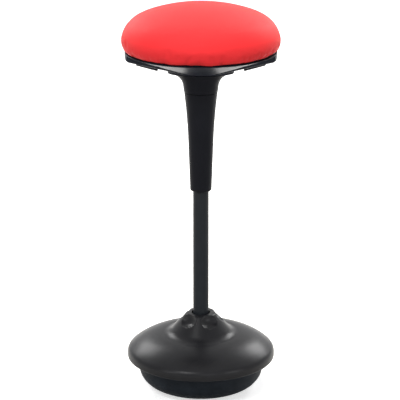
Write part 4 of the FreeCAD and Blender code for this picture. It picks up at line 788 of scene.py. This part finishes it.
def cover_section():
    """Half section: bore, hub, hollow fillet, dome, rim and lip, then back along the inside."""
    rim = (COVER_RADIUS - RIM_ROUND, RIM_HEIGHT)
    crown = (rim[0] + (RIM_ROUND - CROWN_ROUND) * math.cos(RIM_SWEEP),
             rim[1] + (RIM_ROUND - CROWN_ROUND) * math.sin(RIM_SWEEP))
    foot = Vector((crown[0], crown[1] + CROWN_ROUND))
    top = Vector((HUB_TOP_RADIUS, HUB_HEIGHT))
    up = (top - foot).normalized()
    out = Vector((up.y, -up.x))
    reach = foot - Vector(crown) + out * HUB_FOOT_ROUND
    along = reach.dot(up)
    climb = -along + math.sqrt(along ** 2 - reach.length_squared
                               + (CROWN_ROUND + HUB_FOOT_ROUND) ** 2)
    hollow = foot + up * climb + out * HUB_FOOT_ROUND
    lean = math.atan2(out.y, out.x)
    back = HUB_EDGE_ROUND * math.tan((math.pi / 2 - lean) / 2)
    edge = top - up * back - out * HUB_EDGE_ROUND
    low = math.atan2(crown[1] - hollow.y, crown[0] - hollow.x)
    section = [(HUB_BORE, HUB_HEIGHT - HUB_ROOF), (HUB_BORE, HUB_HEIGHT)]
    section += arc(edge, HUB_EDGE_ROUND, math.pi / 2, lean, 8)
    start = Vector(section[-1])
    finish = foot + up * climb
    section += [tuple(start.lerp(finish, k / 48)) for k in range(1, 49)]
    section += arc(hollow, HUB_FOOT_ROUND, lean - math.pi, low, 24)[1:]
    section += arc(crown, CROWN_ROUND, low + math.pi, RIM_SWEEP, 24)[1:]
    section += arc(rim, RIM_ROUND, RIM_SWEEP, 0, 10)[1:]
    section += arc((COVER_RADIUS - LIP_ROUND, LIP_HEIGHT + LIP_ROUND), LIP_ROUND,
                   0, -math.pi / 2, 5)
    inner = COVER_RADIUS - COVER_WALL
    section += [(inner, LIP_HEIGHT), (inner, RIM_HEIGHT)]
    section += arc(rim, RIM_ROUND - COVER_WALL, 0, RIM_SWEEP, 5)[1:]
    section += arc(crown, CROWN_ROUND - COVER_WALL, RIM_SWEEP, math.pi / 2, 12)[1:]
    section += [(HUB_BORE + COVER_WALL, HUB_HEIGHT - HUB_ROOF)]
    return section


class STOOL_OT_base_cover(Operator):
    """Domed cover whose hub is scooped into a ring of dimples"""
    bl_idname = "stool.base_cover"
    bl_label = "Base cover"

    def execute(self, context):
        settings = context.scene.stool_cover
        mesh = spin_section("hub_cover", cover_section(), COVER_STEPS, ring=True)
        self.scoop(mesh, settings)
        cover = bpy.data.objects.new("hub_cover", mesh)
        context.scene.collection.objects.link(cover)
        mesh.polygons.foreach_set("use_smooth", [True] * len(mesh.polygons))
        mesh.set_sharp_from_angle(angle=math.radians(40))
        colour = tuple(context.scene.stool_plastic.cover)
        mesh.materials.append(moulded_plastic("base_cover_plastic", colour, 0.31, edge=0.0008,
                                              gloss=0.16))
        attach(cover, "base")
        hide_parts("base_cover")
        return {"FINISHED"}

    def scoop(self, mesh, settings):
        """Presses an oval hollow into the hub's side at each dimple."""
        rim = COVER_RADIUS - RIM_ROUND + (RIM_ROUND - CROWN_ROUND) * math.cos(RIM_SWEEP)
        crown_top = RIM_HEIGHT + (RIM_ROUND - CROWN_ROUND) * math.sin(RIM_SWEEP) + CROWN_ROUND
        lean = (rim - HUB_TOP_RADIUS) / (HUB_HEIGHT - crown_top)
        height = HUB_HEIGHT - (settings.reach - HUB_TOP_RADIUS) / lean
        bulge = 1 / (2 * settings.reach)
        across = (settings.depth / settings.half_width ** 2) - bulge
        along = settings.depth / settings.half_height ** 2
        for number in range(settings.count):
            turn = settings.turn - math.pi / 2 + math.tau * number / settings.count
            level = Vector((math.cos(turn), math.sin(turn), 0))
            side = Vector((-level.y, level.x, 0))
            axis = (level + Vector((0, 0, lean))).normalized()
            slope = axis.cross(side)
            middle = level * settings.reach + Vector((0, 0, height))
            for vertex in mesh.vertices:
                away = vertex.co - middle
                wide = away.dot(side)
                tall = away.dot(slope)
                if away.length > SCOOP_REACH or vertex.co.z < crown_top - SCOOP_DROP:
                    continue
                floor = -settings.depth + across * wide ** 2 + along * tall ** 2
                gap = away.dot(axis) - floor
                if gap > -settings.lip and self.outside(vertex.co):
                    soft = gap if gap > settings.lip else (gap + settings.lip) ** 2 / (
                        4 * settings.lip)
                    vertex.co -= axis * soft

    def outside(self, place):
        """True on the hub's outer skin, false in its bore and on the inside."""
        radius = math.hypot(place.x, place.y)
        return radius > HUB_BORE + SKIN_START and place.z > HUB_HEIGHT - SKIN_DEPTH


# Cushion: section of the finished cover, in metres

CROWN_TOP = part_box("seat_cover")[1][2]
WIDEST = (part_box("seat_cover")[1][0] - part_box("seat_cover")[0][0]) / 2
BOARD_RADIUS = (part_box("seat_board")[1][0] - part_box("seat_board")[0][0]) / 2
BOARD_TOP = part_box("seat_board")[1][2]
WAIST_HEIGHT = 0.7682
SHOULDER_ROUND = 0.0647
EDGE_RADIUS = 0.1627
EDGE_HEIGHT = 0.757
TUCK_RADIUS = 0.1572
TUCK_HEIGHT = 0.7535
BOARD_PLAY = 0.0006
CUSHION_STEPS = 128
# The simulated cover starts this far inside its finished skin.
CLOTH_INSET = 0.001
CLOTH_FRAMES = 20
CLOTH_PRESSURE = 4.0
# Cloth this near the board is held.
HELD_MARGIN = 0.004
# The finished cover stays this far inside the CAD box.
SKIN_PLAY = 0.0002
# Pleats at the hem: height they fade over, depth, width in the noise, and rise of the wavy edge
PLEAT_FADE = 0.024
PLEAT_DEPTH = 0.0035
PLEAT_WIDTH = 0.06
PLEAT_RISE = 0.004
PLEAT_MARGIN = 0.006


def cushion_section(inset):
    """Half section from the crown down the side to the tucked edge, moved in by inset."""
    reach = WIDEST - SHOULDER_ROUND
    rise = CROWN_TOP - WAIST_HEIGHT
    crown = (reach ** 2 + rise ** 2 - SHOULDER_ROUND ** 2) / (2 * (rise - SHOULDER_ROUND))
    turn = math.asin(reach / (crown - SHOULDER_ROUND))
    points = arc((0, CROWN_TOP - crown), crown - inset, math.pi / 2, math.pi / 2 - turn, 16)
    points += arc((reach, WAIST_HEIGHT), SHOULDER_ROUND - inset, math.pi / 2 - turn, 0, 12)[1:]
    waist = WAIST_HEIGHT - EDGE_HEIGHT
    drawn = WIDEST - EDGE_RADIUS
    side = (waist ** 2 + drawn ** 2) / (2 * drawn)
    lean = math.asin(waist / side)
    points += arc((WIDEST - side, WAIST_HEIGHT), side - inset, 0, -lean, 5)[1:]
    return points


class STOOL_OT_cushion(Operator):
    """Padded seat: fabric cover blown up over its foam, tucked under the board"""
    bl_idname = "stool.cushion"
    bl_label = "Cushion"

    def execute(self, context):
        settings = context.scene.stool_cushion
        recess = BOARD_RADIUS + BOARD_PLAY
        roof = BOARD_TOP + BOARD_PLAY
        section = cushion_section(CLOTH_INSET)
        section += [(TUCK_RADIUS, TUCK_HEIGHT), (recess, TUCK_HEIGHT), (recess, roof), (0, roof)]
        mesh = spin_section("cushion", section, CUSHION_STEPS)
        cushion = bpy.data.objects.new("cushion", mesh)
        context.scene.collection.objects.link(cushion)
        self.blow_up(context, cushion, settings)
        self.fill_out(cushion.data)
        self.pull_pleats(cushion.data)
        self.subdivide(context, cushion)
        cushion.data.polygons.foreach_set("use_smooth", [True] * len(cushion.data.polygons))
        cushion.data.materials.append(seat_fabric("seat_fabric", settings))
        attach(cushion, "seat")
        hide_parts("seat_cover", "seat_foam")
        return {"FINISHED"}

    def apply(self, context, piece):
        """Bakes a piece's modifiers into its mesh."""
        graph = context.evaluated_depsgraph_get()
        mesh = bpy.data.meshes.new_from_object(piece.evaluated_get(graph))
        old = piece.data
        piece.modifiers.clear()
        piece.data = mesh
        bpy.data.meshes.remove(old)

    def remesh(self, context, piece, voxel):
        """Even cells, as cloth needs them."""
        modifier = piece.modifiers.new("remesh", "REMESH")
        modifier.mode = "VOXEL"
        modifier.voxel_size = voxel
        self.apply(context, piece)

    def subdivide(self, context, piece):
        """Finer, rounder skin."""
        modifier = piece.modifiers.new("smooth", "SUBSURF")
        modifier.levels = 1
        modifier.render_levels = 1
        self.apply(context, piece)

    def blow_up(self, context, piece, settings):
        """Cloth under pressure, held where it meets the board and the tucked edge."""
        self.remesh(context, piece, settings.voxel)
        rest = [vertex.co.copy() for vertex in piece.data.vertices]
        held = piece.vertex_groups.new(name="held")
        for vertex in piece.data.vertices:
            radius = math.hypot(vertex.co.x, vertex.co.y)
            low = vertex.co.z < EDGE_HEIGHT
            inner = (radius < BOARD_RADIUS + HELD_MARGIN
                     and vertex.co.z < BOARD_TOP + HELD_MARGIN)
            if low or inner:
                held.add([vertex.index], 1.0, "REPLACE")
        cloth = piece.modifiers.new("cloth", "CLOTH")
        cloth.settings.vertex_group_mass = "held"
        cloth.settings.use_pressure = True
        cloth.settings.uniform_pressure_force = CLOTH_PRESSURE
        cloth.settings.effector_weights.gravity = 0.0
        cloth.settings.quality = 6
        for number in range(1, CLOTH_FRAMES + 1):
            context.scene.frame_set(number)
        graph = context.evaluated_depsgraph_get()
        blown = piece.evaluated_get(graph).to_mesh()
        moved = [vertex.co.copy() for vertex in blown.vertices]
        piece.evaluated_get(graph).to_mesh_clear()
        piece.modifiers.clear()
        for vertex, start, finish in zip(piece.data.vertices, rest, moved):
            step = finish - start
            if step.length > settings.swell:
                step = step.normalized() * settings.swell
            vertex.co = start + step
        context.scene.frame_set(1)

    def fill_out(self, mesh):
        """Stretches the cover to its full width and height."""
        widest = max(math.hypot(vertex.co.x, vertex.co.y) for vertex in mesh.vertices)
        highest = max(vertex.co.z for vertex in mesh.vertices)
        spread = (WIDEST - SKIN_PLAY) / widest
        rise = (CROWN_TOP - EDGE_HEIGHT) / (highest - EDGE_HEIGHT)
        for vertex in mesh.vertices:
            vertex.co.x *= spread
            vertex.co.y *= spread
            if vertex.co.z > EDGE_HEIGHT:
                vertex.co.z = EDGE_HEIGHT + (vertex.co.z - EDGE_HEIGHT) * rise

    def pull_pleats(self, mesh):
        """Creases and a wavy edge where the cover is drawn under the seat."""
        for vertex in mesh.vertices:
            radius = math.hypot(vertex.co.x, vertex.co.y)
            near = 1.0 - abs(vertex.co.z - EDGE_HEIGHT) / PLEAT_FADE
            if radius < BOARD_RADIUS + PLEAT_MARGIN or near <= 0:
                continue
            out = Vector((vertex.co.x, vertex.co.y, 0)) / radius
            crease = math.exp(-(noise.noise(out * 6.0) / PLEAT_WIDTH) ** 2) * near ** 2
            vertex.co -= out * crease * PLEAT_DEPTH
            lift = 0.5 + noise.noise(out * 4.0 + Vector((0, 0, 3.1)))
            vertex.co.z += max(0.0, lift) * near ** 2 * PLEAT_RISE


class STOOL_PT_panel(Panel):
    """Lists the stool's pieces"""
    bl_label = "Wobble Stool"
    bl_space_type = "VIEW_3D"
    bl_region_type = "UI"
    bl_category = "Stool"

    def draw(self, context):
        layout = self.layout
        for group in ("stool_stage", "stool_plastic", "stool_cover", "stool_cushion"):
            settings = getattr(context.scene, group)
            for name in settings.__annotations__:
                layout.prop(settings, name)
        for piece in OPERATORS:
            layout.operator(piece.bl_idname)


OPERATORS = (STOOL_OT_stage, STOOL_OT_plastics, STOOL_OT_metals, STOOL_OT_screws,
             STOOL_OT_base_cover, STOOL_OT_cushion)
CLASSES = (CushionSettings, PlasticSettings, CoverSettings, StageSettings, *OPERATORS,
           STOOL_PT_panel)


def register():
    for item in CLASSES:
        bpy.utils.register_class(item)
    bpy.types.Scene.stool_cushion = PointerProperty(type=CushionSettings)
    bpy.types.Scene.stool_plastic = PointerProperty(type=PlasticSettings)
    bpy.types.Scene.stool_cover = PointerProperty(type=CoverSettings)
    bpy.types.Scene.stool_stage = PointerProperty(type=StageSettings)


def unregister():
    del bpy.types.Scene.stool_stage
    del bpy.types.Scene.stool_cover
    del bpy.types.Scene.stool_plastic
    del bpy.types.Scene.stool_cushion
    for item in reversed(CLASSES):
        bpy.utils.unregister_class(item)


def main():
    register()
    bpy.ops.stool.stage()
    bpy.ops.stool.plastics()
    bpy.ops.stool.metals()
    bpy.ops.stool.screws()
    bpy.ops.stool.base_cover()
    bpy.ops.stool.cushion()


if __name__ == "__main__":
    main()
